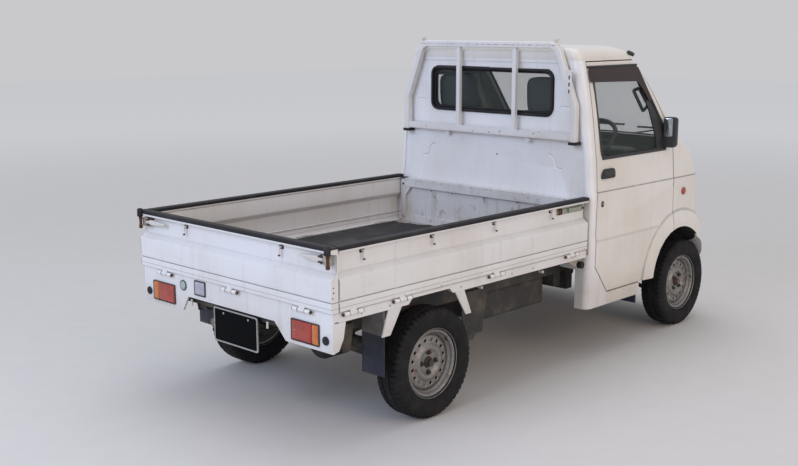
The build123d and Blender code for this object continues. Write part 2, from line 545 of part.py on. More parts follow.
def make_rear_panel():
    outline = [(-PANEL_HALF, BED_FLOOR), (-PANEL_HALF, PANEL_BOTTOM),
               (324 - BED_HALF, PANEL_BOTTOM), (402 - BED_HALF, 548), (BED_HALF - 386, 548),
               (BED_HALF - 339, PANEL_BOTTOM), (PANEL_HALF, PANEL_BOTTOM),
               (PANEL_HALF, BED_FLOOR)]
    sheet = plate_xz(outline, PANEL_FACE - PANEL_T, PANEL_FACE)
    ledge = block(-PANEL_HALF, PANEL_HALF, PANEL_Y, PANEL_FACE, BED_FLOOR - 38, BED_FLOOR)
    cheek = plate_yz([(PANEL_FACE - 78, 606), (PANEL_FACE, 606), (PANEL_FACE, PANEL_BOTTOM),
                      (PANEL_FACE - 36, 478), (PANEL_FACE - 64, 530)], PANEL_HALF - 10,
                     PANEL_HALF)
    lamps = [block(x0, x1, PANEL_FACE - 40, PANEL_FACE + LAMP_PROUD, z0, z1)
             for x0, x1, z0, z1 in TAIL_LAMPS]
    x, z, radius = REVERSE_LAMP
    lamps.append(bar((x, PANEL_FACE - 14, z), (x, PANEL_FACE + LAMP_PROUD, z), radius))
    PARTS["rear_panel"] = minus(join([sheet, ledge] + both_sides(cheek)), *lamps)
    PARTS["rear_lamps"] = join(lamps)
    PARTS["licence_plate"] = block(-PLATE_HALF, PLATE_HALF, PANEL_Y + 4, PANEL_Y + 7,
                                   PLATE_BOTTOM, PLATE_TOP)


def gate_section():
    """The gate's sheet in section, depth and height: outer line up, inner line down."""
    outer = [(depth, height) for height, depth in GATE_SECTION]
    inner = [(depth + GATE_SHEET, height) for depth, height in outer]
    return outer + inner[::-1]


def straight_gate(length, knuckle_places):
    """A gate standing along +Y from 0, outer face towards +X at x = 0, bottom at z = 0."""
    sheet = make_face(Polyline([(-depth, 0, height) for depth, height in gate_section()],
                               close=True))
    top, drop = GATE_TOP - GATE_BOTTOM, GATE_BOTTOM - PIN_Z
    pieces = [extrude(sheet, amount=length, dir=(0, 1, 0)),
              block(-GATE_DEPTH, 0, 0, length, top - 5, top),
              block(-GATE_DEPTH, 4 - GATE_DEPTH, 0, length, top - 20, top),
              block(-GATE_DEPTH, 0, 0, 5, 0, top),
              block(-GATE_DEPTH, 0, length - 5, length, 0, top)]
    pins = []
    for place in knuckle_places:
        near, far = place - KNUCKLE_HALF, place + KNUCKLE_HALF
        pieces.append(bar((PIN_OUT, near, -drop), (PIN_OUT, far, -drop), PIN_R))
        pieces.append(block(-6.5, 0, near, far, -drop, 8))
        pins.append(bar((PIN_OUT, place - HINGE_HALF - 10, -drop),
                        (PIN_OUT, place + HINGE_HALF + 10, -drop), PIN_BORE_R + PIN_GAP))
    return minus(join(pieces), *pins)


def gate_guard(length):
    top = GATE_TOP - GATE_BOTTOM
    return block(-GATE_DEPTH - 1, 1, 0, length, top, top + GUARD_T)


def rope_hook(y, z):
    """A rope hook on a gate's web: a round rod out of the web and bent up."""
    return join([bar((-WEB_DEPTH, y, z - 8), (12 - WEB_DEPTH, y, z - 8), 4),
                 bar((11 - WEB_DEPTH, y, z - 14), (11 - WEB_DEPTH, y, z + 16), 5)])


def latch_plate(start, end, low, high):
    """A latch's body on a gate's web, with its round pivot."""
    body = block(-WEB_DEPTH, 16 - WEB_DEPTH, start, end, low, high)
    pivot_y, middle = start + (high - low) / 2, (low + high) / 2
    return body.fuse(bar((-WEB_DEPTH, pivot_y, middle), (26 - WEB_DEPTH, pivot_y, middle), 10))


def make_gates():
    length = SIDE_GATE_REAR - SIDE_GATE_FRONT
    gate = straight_gate(length, [y - SIDE_GATE_FRONT for y in SIDE_HINGE_Y])
    gate = join([gate] + [rope_hook(y - SIDE_GATE_FRONT, 243) for y in SIDE_HOOK_Y])
    place = Pos(BED_HALF, SIDE_GATE_FRONT, GATE_BOTTOM)
    PARTS["gate_l"] = place * gate
    PARTS["gate_guard_l"] = place * gate_guard(length)
    PARTS["gate_latch_l"] = place * latch_plate(18, 254, 222, 258)
    for name in ("gate", "gate_guard", "gate_latch"):
        PARTS[name + "_r"] = other_side(PARTS[name + "_l"])
    tail = straight_gate(2 * BED_HALF, [BED_HALF - x for x in TAIL_HINGE_X])
    tail = join([tail] + [rope_hook(BED_HALF - x, 239) for x in TAIL_HOOK_X])
    lever = latch_plate(30, 197, 228, 250)
    far_lever = Pos(0, 2 * BED_HALF, 0) * mirror(lever, about=Plane.XZ)
    place = Pos(BED_HALF, TAIL_FACE, GATE_BOTTOM) * Rot(0, 0, 90)
    PARTS["tailgate"] = place * tail
    PARTS["gate_guard_tail"] = place * gate_guard(2 * BED_HALF)
    PARTS["tail_latches"] = place * join([lever, far_lever])


def make_hinge_brackets():
    """Fixed halves of the gates' hinges, each with its pin."""
    x, pieces = BED_HALF + PIN_OUT, []
    for y in SIDE_HINGE_Y:
        near, far = y - HINGE_HALF, y + HINGE_HALF
        hinge = [bar((x, near, PIN_Z), (x, far, PIN_Z), PIN_BORE_R)]
        for y0, y1 in ((near, y - KNUCKLE_HALF - 1), (y + KNUCKLE_HALF + 1, far)):
            hinge.append(bar((x, y0, PIN_Z), (x, y1, PIN_Z), PIN_R))
            hinge.append(block(BED_RAIL_X, x, y0, y1, PIN_Z - 7, PIN_Z + 5))
        pieces += both_sides(join(hinge))
    y = TAIL_FACE + PIN_OUT
    for x in TAIL_HINGE_X:
        near, far = x - HINGE_HALF, x + HINGE_HALF
        pieces.append(bar((near, y, PIN_Z), (far, y, PIN_Z), PIN_BORE_R))
        for x0, x1 in ((near, x - KNUCKLE_HALF - 1), (x + KNUCKLE_HALF + 1, far)):
            pieces.append(bar((x0, y, PIN_Z), (x1, y, PIN_Z), PIN_R))
            pieces.append(block(x0, x1, PANEL_FACE, y, PIN_Z - 7, PIN_Z + 5))
    PARTS["hinge_brackets"] = join(pieces)


def make_guard_frame():
    """The square-tube hoop behind the cab with its bars, feet, tabs and rope horns."""
    y = GUARD_Y
    right = [(GUARD_FOOT_X, y, GUARD_FOOT_Z), (GUARD_FOOT_X, y, GUARD_BEND_Z),
             (GUARD_TOP_X, y, GUARD_TOP_Z)]
    points = [(-x, y, z) for x, y, z in right] + right[::-1]
    path = FilletPolyline(*points, radius=70)
    section = Plane(origin=points[0], x_dir=(1, 0, 0), z_dir=(0, 0, 1)) * RectangleRounded(
        GUARD_TUBE, GUARD_TUBE, 7)
    rail_half = GUARD_FOOT_X - 15
    pieces = [sweep(section, path=path),
              block(-rail_half, rail_half, y - 12, y + 14, GUARD_FOOT_Z + 7, GUARD_FOOT_Z + 45)]
    upright = block(GUARD_BAR_X - 13, GUARD_BAR_X + 13, y - 10, y + 12, GUARD_FOOT_Z + 35,
                    GUARD_TOP_Z - 11)
    tab = block(GUARD_TAB_X - 16, GUARD_TAB_X + 16, CAB_REAR - RECESS_DEPTH, y,
                GUARD_FOOT_Z - 17, GUARD_FOOT_Z + 11)
    pad = block(GUARD_FOOT_X - 22, GUARD_FOOT_X + 22, CAB_REAR - RECESS_DEPTH, y + 19,
                GUARD_FOOT_Z - 7, GUARD_FOOT_Z + 1)
    horn = bar((GUARD_HOOK_X, y, GUARD_TOP_Z + 9), (GUARD_HOOK_X, y, GUARD_TOP_Z + 30), 7)
    knob = Pos(GUARD_HOOK_X, y, GUARD_TOP_Z + 29) * Sphere(12)
    for piece in (upright, tab, pad, horn, knob):
        pieces += both_sides(piece)
    PARTS["guard_frame"] = join(pieces)


def make_stops():
    """Rubber stops that the lowered gates rest against."""
    side = drum(20, BED_HALF - 28, BED_HALF, BED_FRONT + 51, 570)
    tail_x = BED_HALF - 51
    tail = bar((tail_x, PANEL_FACE, 525), (tail_x, PANEL_FACE + 7, 525), 20)
    PARTS["bump_stops"] = join(both_sides(side) + both_sides(tail))


def make_frame():
    """Wide rails under the bed, narrow rails under the cab, and the mounts on them."""
    outer, inner = RAIL_X + RAIL_W / 2, NARROW_X - NARROW_HALF
    narrow_out = NARROW_X + NARROW_HALF
    pieces = [
        block(RAIL_X - RAIL_W / 2, outer, CAB_REAR + 12, REAR - 67.5, RAIL_BOTTOM, RAIL_TOP),
        block(inner, narrow_out, NARROW_FRONT, NARROW_REAR, NARROW_BOTTOM, NARROW_TOP),
        block(inner, outer, CAB_REAR + 12, NARROW_REAR, NARROW_BOTTOM, RAIL_TOP),
        block(inner, narrow_out, ENGINE_FRONT + 220, ENGINE_FRONT + 280, ENGINE_BOTTOM - 30,
              NARROW_BOTTOM)]
    for y in (NARROW_FRONT + 60, FRONT + 697.5, CAB_REAR - 158):
        pieces.append(block(NARROW_X - 22, NARROW_X + 22, y - 22, y + 22, NARROW_TOP,
                            FLOOR_Z - FLOOR_T))
    for y in CROSS_MEMBER_Y:
        pieces.append(block(RAIL_X - 25, RAIL_X + 25, y - 22, y + 22, RAIL_TOP,
                            BED_RAIL_BOTTOM))
    PARTS["ladder_frame"] = join(both_sides(join(pieces)))


def make_frame_members():
    """Cross members between the rails, and the leaf springs' hangers outside them."""
    hangers = [
        plate_yz([(REAR_AXLE_Y + y, z) for y, z in
                  ((-424, 531), (-582, 503), (-544, 294), (-493, 299), (-469, 265),
                   (-404, 268), (-377, 427))], SPRING_OUTER_X, SPRING_OUTER_X + 8),
        plate_yz([(REAR_AXLE_Y + y, z) for y, z in
                  ((392, 531), (482, 531), (459, 400), (417, 400))], SPRING_OUTER_X,
                 SPRING_OUTER_X + 8)]
    for y0, y1 in ((-563, -413), (397, 477)):
        hangers.append(block(RAIL_X, SPRING_OUTER_X + 8, REAR_AXLE_Y + y0, REAR_AXLE_Y + y1,
                             RAIL_BOTTOM + 5, RAIL_BOTTOM + 35))
    pieces = both_sides(join(hangers))
    pieces.append(block(-NARROW_X, NARROW_X, ENGINE_FRONT + 220, ENGINE_FRONT + 280,
                        ENGINE_BOTTOM - 30, ENGINE_BOTTOM))
    # columns: y of the cross member, half length, bottom
    for y, half, low in ((NARROW_FRONT + 25, NARROW_X, 430), (FRONT + 697.5, NARROW_X, 430),
                         (CAB_REAR + 42, RAIL_X, 440), (CAB_REAR + 512, RAIL_X, 505),
                         (REAR_AXLE_Y - 243, RAIL_X, 505), (REAR_AXLE_Y + 237, RAIL_X, 505),
                         (REAR - 97.5, RAIL_X, 505)):
        pieces.append(block(-half, half, y - 25, y + 25, low, low + 55))
    pieces.append(block(-120, 120, REAR - 97.5, PANEL_Y + 4, 505, 518))
    PARTS["frame_members"] = minus(join(pieces), PARTS["ladder_frame"])


def make_engine():
    PARTS["engine"] = block(-ENGINE_HALF, ENGINE_HALF, ENGINE_FRONT, ENGINE_REAR,
                            ENGINE_BOTTOM, ENGINE_TOP)


def make_exhaust():
    x, z, tail_x = EXHAUST_X, MUFFLER_Z, 300
    muffler_front, muffler_rear = CAB_REAR + 202, REAR - 1317.5
    pipe = tube_run([(x, ENGINE_REAR, z + 70), (x, ENGINE_REAR + 90, z + 70),
                     (x, muffler_front - 60, z), (x, muffler_rear + 40, z),
                     (tail_x, REAR - 997.5, z + 40), (tail_x, REAR - 347.5, z + 80),
                     (tail_x, REAR - 137.5, z + 50)], PIPE_R, 40)
    muffler = bar((x, muffler_front, z), (x, muffler_rear, z), MUFFLER_R)
    PARTS["exhaust"] = join([pipe, fillet(muffler.edges(), 12)])


def make_tank():
    tank = block(-RAIL_X - 5, -150, CAB_REAR + 142, REAR - 1277.5, 330, RAIL_BOTTOM)
    PARTS["fuel_tank"] = fillet(tank.edges().filter_by(Axis.Y), 30)


def make_rear_axle():
    """Axle tube with its drive casing and drums, and the propeller shaft to the engine."""
    half, y = REAR_TRACK / 2, REAR_AXLE_Y
    pieces = [bar((60 - half, y, TYRE_R), (half - 60, y, TYRE_R), 36),
              fillet(bar((0, y - 70, TYRE_R), (0, y + 110, TYRE_R), 105).edges(), 25),
              bar((0, y - 60, TYRE_R + 6), (0, ENGINE_REAR, 410), 26)]
    pieces += both_sides(drum(STUB_R, half - 85, half + 48, y, TYRE_R))
    pieces += both_sides(drum(108, half - 62, half - 18, y, TYRE_R))
    PARTS["rear_axle"] = minus(join(pieces), PARTS["engine"])


def make_leaf_springs():
    """Leaves bent under the axle, with their eyes and the clamp plates."""
    seat = TYRE_R - 36 - PIN_GAP
    front_eye, rear_eye = (-436, 335), (437, 425)
    outline = [(-443, 325), (-263, 300), (-45, seat - 22), (45, seat - 22), (267, 330),
               (437, 415), (427, 430), (252, 350), (45, seat), (-45, seat), (-253, 322),
               (-433, 347)]
    pieces = [plate_yz([(REAR_AXLE_Y + y, z) for y, z in outline], RAIL_X - 15, RAIL_X + 35),
              block(RAIL_X - 22, RAIL_X + 42, REAR_AXLE_Y - 55, REAR_AXLE_Y + 55, seat - 34,
                    seat - 20)]
    for (y, z), radius in ((front_eye, 20), (rear_eye, 18)):
        pieces.append(drum(radius, RAIL_X - 23, SPRING_OUTER_X, REAR_AXLE_Y + y, z))
    PARTS["leaf_springs"] = join(both_sides(join(pieces)))


def make_front_end():
    """Control arms with their ball pins, and a knuckle with its strut on each side."""
    y = FRONT_AXLE_Y
    arm = bar((KING_X, y, KING_Z - 30), (NARROW_X + 10, y, KING_Z + 55), 13)
    mount = block(NARROW_X - 20, NARROW_X + 25, y - 35, y + 35, KING_Z + 40, NARROW_BOTTOM)
    pin = king_bar(KING_Z, KING_X, BALL_R, -34, 10)
    beam = block(10 - NARROW_X, NARROW_X - 10, y - 30, y + 30, 380, 400)
    PARTS["front_suspension"] = join([beam] + both_sides(join([arm, mount, pin])))
    half, low, high = FRONT_TRACK / 2, TYRE_R + 76, TYRE_R + 116
    pieces = [block(KING_X - 12, KING_X + 14, y - 26, y + 26, TYRE_R - 108, high),
              block(KING_X - 88, KING_X, y - 24, y + 24, low, high),
              drum(STUB_R, KING_X, half + 48, y, TYRE_R),
              drum(100, KING_X + 14, half - 12, y, TYRE_R),
              bar((KING_X - 67, y, low), (KING_X - 62, y, low + 250), 24),
              king_bar(STRUT_TOP_Z, KING_TOP_X, STRUT_ROD_R, -80, 26),
              block(KING_X - 40, KING_X - 10, y, y + 100, TYRE_R - 34, TYRE_R - 18)]
    hole = king_bar(KING_Z, KING_X, BALL_R + PIN_GAP, -60, 12)
    PARTS["knuckle_l"] = minus(join(pieces), hole)
    PARTS["knuckle_r"] = other_side(PARTS["knuckle_l"])


def ring_of(count, ring_r, radius, x0, x1, y, start):
    """Round pieces spaced evenly about a wheel's axis."""
    turns = [radians(start + 360 / count * index) for index in range(count)]
    return [drum(radius, x0, x1, y + ring_r * cos(turn), TYRE_R + ring_r * sin(turn))
            for turn in turns]


def make_wheels():
    ring = [(RIM_R + (TYRE_R - RIM_R) * share, offset) for share, offset in TYRE_SECTION]
    tyre_profile = ring + [(radius, -offset) for radius, offset in reversed(ring)]
    barrel = RIM_SECTION + [(radius, -offset) for radius, offset in RIM_SECTION[::-1]]
    inner = [(radius - BARREL_T, offset) for radius, offset in barrel]
    for name, y, track in (("f", FRONT_AXLE_Y, FRONT_TRACK), ("r", REAR_AXLE_Y, REAR_TRACK)):
        x = track / 2
        rim = join([turned(barrel + inner[::-1], x, y, TYRE_R),
                    turned(DISC_SECTION, x, y, TYRE_R), turned(HUB_SECTION, x, y, TYRE_R)])
        rim = minus(rim, *ring_of(HOLE_COUNT, HOLE_RING_R, HOLE_R, x - 5, x + 60, y,
                                  180 / HOLE_COUNT))
        rim = join([rim] + ring_of(NUT_COUNT, NUT_RING_R, NUT_R, x + 30, x + 46, y, 45))
        tyre = turned(tyre_profile, x, y, TYRE_R)
        PARTS[f"tyre_{name}l"], PARTS[f"tyre_{name}r"] = both_sides(tyre)
        PARTS[f"rim_{name}l"], PARTS[f"rim_{name}r"] = both_sides(rim)


def make_flaps():
    x0, x1 = BED_HALF - 164, BED_RAIL_X - 12
    rear = block(x0, x1, REAR_AXLE_Y + 339, REAR_AXLE_Y + 345, 285, BED_RAIL_BOTTOM - 2)
    front = block(x0, x1, SILL_FRONT - 6, SILL_FRONT, 240, SILL_TOP - 6)
    PARTS["mud_flaps"] = join(both_sides(rear) + both_sides(front))


def make_door_fittings():
    """Mirror, handle, key cylinder, black sash and the smoked visor of the left door."""
    mirror_y = FRONT + 640
    head = block(CAB_HALF - 21.5, CAB_HALF + 48.5, mirror_y - 22, mirror_y + 22, 1160, 1342)
    head = fillet(head.edges().filter_by(Axis.Y), 16)
    foot = block(CAB_HALF - 47.5, CAB_HALF + 2.5, mirror_y - 35, mirror_y, 1185, 1240)
    handle = block(CAB_HALF - 22.5, CAB_HALF + 6, FRONT + 1189.5, FRONT + 1335.5, 1040, 1084)
    key = drum(11, CAB_HALF - 17.5, CAB_HALF + 3.5, FRONT + 1310.5, 894)
    upper, outer_skin, visor_skin = (cab_body(inset)[1] for inset in (GLASS_FROM, -9, -12))
    sash = plate_yz(cab_side(SASH_EDGE + [(620, 1140), (620, 1262), (773, 1480), (880, 1655)]),
                    CAB_HALF - 240, BEYOND)
    sash = common(common(minus(cab_body(-1.5)[1], upper), sash), side_window_prism())
    visor = plate_yz(cab_side(VISOR), CAB_HALF - 240, BEYOND, 6)
    rim = common(visor, slab(FRONT, CAB_REAR, 1646, 1656))
    visor = common(minus(visor_skin, outer_skin), visor)
    flange = common(minus(visor_skin, upper), rim)
    fittings = join([head, foot, handle, key, sash, visor, flange])
    fittings = minus(fittings, PARTS["door_l"], PARTS["door_glass_l"])
    PARTS["door_fittings_l"], PARTS["door_fittings_r"] = both_sides(fittings)


# Solids by node are gathered here and written out at the end.
PARTS = {}
for step in (make_cab, make_rear_window, make_dashboard, make_steering_wheel, make_seats,
             make_wipers, make_bumper, make_antenna_base, make_bed, make_front_wall,
             make_rear_panel, make_gates, make_hinge_brackets, make_guard_frame, make_stops,
             make_frame, make_frame_members, make_engine, make_exhaust, make_tank, make_rear_axle,
             make_leaf_springs, make_front_end, make_wheels, make_flaps, make_door_fittings):
    step()
for name, shape in PARTS.items():
    export_step(shape, f"parts/{name}.step")
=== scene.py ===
# %% [markdown]
# # A small flat-bed truck
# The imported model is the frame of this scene: every piece made here rides on one of its
# bodies, so that doors, gates and wheels still move. Nothing is read from disk but that.

# %% The frame and its box
import json
import math

import bmesh
import bpy
import numpy as np
from mathutils import Matrix, Vector
from mathutils.geometry import delaunay_2d_cdt


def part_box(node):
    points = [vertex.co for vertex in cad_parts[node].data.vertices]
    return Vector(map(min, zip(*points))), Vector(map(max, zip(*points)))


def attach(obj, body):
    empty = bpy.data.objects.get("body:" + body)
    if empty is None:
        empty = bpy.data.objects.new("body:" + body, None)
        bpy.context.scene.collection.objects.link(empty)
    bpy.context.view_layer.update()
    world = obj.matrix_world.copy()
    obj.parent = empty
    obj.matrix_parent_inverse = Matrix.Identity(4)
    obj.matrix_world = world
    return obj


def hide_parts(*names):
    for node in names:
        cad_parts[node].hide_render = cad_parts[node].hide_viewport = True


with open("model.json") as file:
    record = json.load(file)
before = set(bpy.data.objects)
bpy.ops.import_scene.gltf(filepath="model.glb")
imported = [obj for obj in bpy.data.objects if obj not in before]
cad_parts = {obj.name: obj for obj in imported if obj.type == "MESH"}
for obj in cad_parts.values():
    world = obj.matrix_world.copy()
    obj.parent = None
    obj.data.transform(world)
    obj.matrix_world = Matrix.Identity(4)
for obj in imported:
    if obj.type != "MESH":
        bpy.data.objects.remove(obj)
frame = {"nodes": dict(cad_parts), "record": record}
NODES = frame["nodes"]
BODY_OF = {node: body for body, group in frame["record"]["behaviour"]["bodies"].items()
           for node in group}
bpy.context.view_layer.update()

# %% [markdown]
# A material here is an expression. A small class wraps a node's output socket, so that
# `1 - mask * 0.5` adds the Math nodes by itself, and one method adds any other node.

# %% Shader values as Python expressions
class Value:
    """A number that varies over a surface: an output socket with Python's operators."""

    def __init__(self, finish, socket):
        self.finish, self.socket = finish, socket

    def math(self, operation, *others):
        return self.finish.math(operation, self, *others)

    def __add__(self, other): return self.math("ADD", other)
    def __radd__(self, other): return self.math("ADD", other)
    def __sub__(self, other): return self.math("SUBTRACT", other)
    def __rsub__(self, other): return self.finish.math("SUBTRACT", other, self)
    def __mul__(self, other): return self.math("MULTIPLY", other)
    def __pow__(self, other): return self.math("POWER", other)
    def __abs__(self): return self.math("ABSOLUTE")
    def __lt__(self, other): return self.math("LESS_THAN", other)
    def __gt__(self, other): return self.math("GREATER_THAN", other)
    def __or__(self, other): return self.math("MAXIMUM", other)

    def ramp(self, low, high):
        """0 below low, 1 above high, smooth between; low may be the larger."""
        smooth = self.finish.node("MapRange", {"Value": self, "From Min": min(low, high),
                                               "From Max": max(low, high)},
                                  interpolation_type="SMOOTHSTEP")
        return smooth if low < high else 1 - smooth


class Finish:
    """One material: its nodes, its coordinates and its shader."""

    def __init__(self, name):
        self.mat = bpy.data.materials.new(name)
        self.mat.use_nodes = True
        self.tree = self.mat.node_tree
        self.tree.nodes.clear()
        self.place = self.node("TexCoord", {}, "Object")
        xyz = self.tree.nodes.new("ShaderNodeSeparateXYZ")
        self.tree.links.new(self.place.socket, xyz.inputs[0])
        self.x, self.y, self.z = (Value(self, xyz.outputs[i]) for i in range(3))

    def feed(self, socket, value):
        if isinstance(value, Value):
            self.tree.links.new(value.socket, socket)
        elif isinstance(value, (tuple, list)) and len(value) == 3 and socket.type == "RGBA":
            socket.default_value = (*value, 1.0)
        else:
            socket.default_value = value

    def node(self, kind, inputs, out=0, **settings):
        """Any node: the values or links of its inputs, then its settings."""
        node = self.tree.nodes.new("ShaderNode" + kind)
        for key, value in settings.items():
            setattr(node, key, value)
        for key, value in inputs.items():
            self.feed(node.inputs[key], value)
        return Value(self, node.outputs[out])

    def math(self, operation, *values):
        return self.node("Math", dict(enumerate(values)), operation=operation)

    def noise(self, scale, detail=4.0, rough=0.5, at=None):
        return self.node("TexNoise", {"Vector": at or self.place, "Scale": scale,
                                      "Detail": detail, "Roughness": rough})

    def streaks(self, x, y, z, detail, rough=0.6):
        """Noise on the place scaled along each axis: runs, wipes and scratches."""
        place = self.node("VectorMath", {0: self.place, 1: (x, y, z)}, operation="MULTIPLY")
        return self.noise(1.0, detail, rough, place)

    def mix(self, mask, low, high):
        """Colour low where the mask is 0, high where it is 1."""
        return self.node("Mix", {0: mask, 6: low, 7: high}, 2, data_type="RGBA")

    def bump(self, height, distance, strength):
        return self.node("Bump", {"Height": height, "Distance": distance,
                                  "Strength": strength})

    def band(self, value, centre, half, soft):
        """1 within half of the centre, fading over soft on each side."""
        return abs(value - centre).ramp(half + soft, half)

    def shade(self, colour, roughness=0.5, metallic=0.0, normal=None, **others):
        """The Principled shader and the output; others are named sockets."""
        inputs = {"Base Color": colour, "Roughness": roughness, "Metallic": metallic}
        if normal is not None:
            inputs["Normal"] = normal
        inputs.update({key.replace("_", " "): value for key, value in others.items()})
        shader = self.node("BsdfPrincipled", inputs)
        output = self.tree.nodes.new("ShaderNodeOutputMaterial")
        self.tree.links.new(shader.socket, output.inputs["Surface"])
        return self.mat


# %% [markdown]
# The truck's white paint is decades old: chalky, with dust low down, dark runs below seams,
# and chips down to rust along edges. Every patch is worked out from the place on the truck,
# in metres, so a streak that starts on one panel goes on across the next.

# %% White paint
RUST_DARK, RUST_BRIGHT = (0.085, 0.032, 0.016), (0.30, 0.115, 0.040)
RUST_STAIN = (0.36, 0.19, 0.095)
# The last colour on the next line is painted shade for grooves and creases.
DUST, SOOT, SEAM_SHADE = (0.40, 0.345, 0.275), (0.16, 0.15, 0.145), (0.09, 0.078, 0.068)
WORN = (0.955, 0.94, 0.91)    # what age leaves of the paint's red, green and blue
CREAM, COOL_WHITE = (0.745, 0.725, 0.695), (0.745, 0.75, 0.765)
ARCH_Y, ARCH_Z, ARCH_R, FLARE_R = -1.240, 0.343, 0.312, 0.417    # front wheel arches
SWAGE_Z, CREASE_Z, HEM_Z, GATE_FOOT_Z, GATE_FOLD_Z = 0.9635, 0.688, 0.7025, 0.6745, 0.828


def rust_colour(finish, bright=RUST_BRIGHT):
    return finish.mix(finish.noise(60, 6, 0.65).ramp(0.35, 0.7), RUST_DARK, bright)


def aged_paint(name, colour, low=(0.30, 0.62), grime=0.35, chips=0.5, rust=None, gloss=0.34,
               soot=0.0, seams=None):
    """Body paint with streaks, dust and chips. Dust thickens below the second height of
    `low` and is full at the first. Rust and seams are functions that give masks: of stains
    and pits, and of painted shade in the grooves and creases between pressings."""
    f = Finish(name)
    cloud = f.noise(2.3, 5, 0.55)
    streak, wipe = f.streaks(26, 26, 2.2, 6), f.streaks(3, 3, 14, 5)
    fine = f.noise(180, 3, 0.5)
    road = f.z.ramp(low[1], low[0]) * (0.35 + cloud.ramp(0.3, 0.7) * 0.65)
    dirt = (streak.ramp(0.50, 0.78) * 0.55 + cloud.ramp(0.42, 0.8) * 0.5
            + wipe.ramp(0.55, 0.8) * 0.25) * grime + road * 0.42
    worn = tuple(np.multiply(colour, WORN))
    paint = f.mix(dirt, f.mix(cloud.ramp(0.3, 0.7), colour, worn), DUST)
    if soot:
        paint = f.mix(f.noise(14, 6, 0.7).ramp(0.56, 0.72) * soot, paint, SOOT)
    # Painted shade: the seams mask darkens the paint along grooves, creases and borders.
    if seams is not None:
        seam_shade = seams(f) * (f.noise(20, 4).ramp(0.25, 0.5) * 0.4 + 0.6)
        paint = f.mix(seam_shade, paint, SEAM_SHADE)
    cells = f.node("TexVoronoi", {"Vector": f.place, "Scale": 85})
    speck = cells.ramp(0.16, 0.1) * f.noise(9, 3).ramp(0.62, 0.7)
    scratch = f.streaks(9, 9, 160, 2, 0.5).ramp(0.70, 0.76) * f.noise(5, 2).ramp(0.55, 0.68)
    bare = (speck * chips) | (scratch * chips * 0.5)
    if rust is not None:
        stain, pit = rust(f)
        paint = f.mix(stain, paint, RUST_STAIN)
        bare = bare | pit
    full = f.mix(bare, paint, rust_colour(f))
    rough = gloss + dirt * 0.5 + bare * 0.4 + (fine - 0.5) * 0.05
    height = f.noise(3.5, 3, 0.4) * 1.2 - bare * 0.35 + fine * 0.03
    return f.shade(full, rough, normal=f.bump(height, 0.0016, 0.55), Coat_Weight=0.25,
                   Coat_Roughness=0.18)


def ragged(f, value, low, high, scale=34):
    """A mask with a broken edge: the value is shifted by noise before its ramp."""
    return (value + (f.noise(scale, 8, 0.7) - 0.5) * 0.9).ramp(low, high)


def from_arch(f):
    """The distance from the front wheel arches' middle, seen from the side."""
    y, z = f.y - ARCH_Y, f.z - ARCH_Z
    return (y * y + z * z) ** 0.5


def cab_rust(f):
    """Rust along the sill, the rear wall's foot and the arches' lip."""
    sill = f.z.ramp(0.37, 0.31) * 0.62
    foot = f.band(f.y, -0.262, 0.03, 0.02) * f.z.ramp(0.50, 0.36) * 0.55
    lip = f.band(from_arch(f), ARCH_R, 0.003, 0.010) * 0.55
    run = f.streaks(60, 60, 3, 4).ramp(0.55, 0.75)
    return (sill | foot) * run * 0.3, ragged(f, sill | foot | lip, 0.72, 0.86)


def cab_painted_shade(f):
    """Painted shade: a dark line at the swage's step under the windows, a soft one along
    a crease below it, and one along the flare's border.
    """
    reach = from_arch(f)
    flare = f.band(reach, FLARE_R, 0.003, 0.010) * f.z.ramp(0.36, 0.40) * (f.y < -0.8)
    crease = f.band(f.z, CREASE_Z, 0.002, 0.010) * (reach > 0.43) * 0.20
    return f.band(f.z, SWAGE_Z, 0.0022, 0.0022) * 0.62 | flare * 0.34 | crease


def gate_painted_shade(f):
    """Painted shade above and below the gates' hem, and a faint line of painted shade
    along the fold.
    """
    return (f.band(f.z, HEM_Z, 0.0017, 0.0017) * 0.6
            | f.band(f.z, GATE_FOOT_Z, 0.0012, 0.0012) * 0.4
            | f.band(f.z, GATE_FOLD_Z, 0.001, 0.006) * 0.10)


def bed_rust(f):
    """Rust at the gates' lower seam, round each hinge, at the hooks and at the floor."""
    seam = f.band(f.z, 0.652, 0.010, 0.014) * 0.62
    front_end = f.y.ramp(-0.19, -0.25) * f.z.ramp(0.74, 0.62) * 0.66
    tail_end = f.y.ramp(1.66, 1.70) * f.band(f.z, 0.66, 0.02, 0.03) * 0.6
    hooks = f.band(f.z, 0.895, 0.016, 0.012) * f.noise(7, 2).ramp(0.5, 0.6) * 0.35
    under = f.z.ramp(0.62, 0.50) * 0.42
    pit = ragged(f, seam | front_end | tail_end | hooks | under, 0.70, 0.82)
    run = f.streaks(60, 60, 2.2, 5).ramp(0.58, 0.76) * f.noise(3.5, 3).ramp(0.45, 0.62)
    return f.z.ramp(0.90, 0.66) * f.z.ramp(0.60, 0.66) * run * 0.3, pit


def wall_rust(f):
    """The bed's front wall: a rusty top rail and runs in its lower corners."""
    rail = f.band(f.z, 0.920, 0.004, 0.006) * 0.62
    corner = abs(f.x).ramp(0.56, 0.66) * f.z.ramp(0.78, 0.67) * 0.66
    run = f.streaks(60, 60, 3, 5).ramp(0.5, 0.7)
    stain = run * (f.z.ramp(0.9, 0.72) * 0.25) + corner * 0.2
    return stain, ragged(f, rail | corner, 0.66, 0.8)


def guard_rust(f):
    """The guard frame: the top beam and the welds of the lower one are rusty."""
    top = f.band(f.z, 1.7700, 0.0015, 0.004) * 0.76
    low = f.band(f.z, 1.252, 0.006, 0.008) * 0.6
    return (top | low) * 0.2, ragged(f, top | low, 0.72, 0.86, 55)


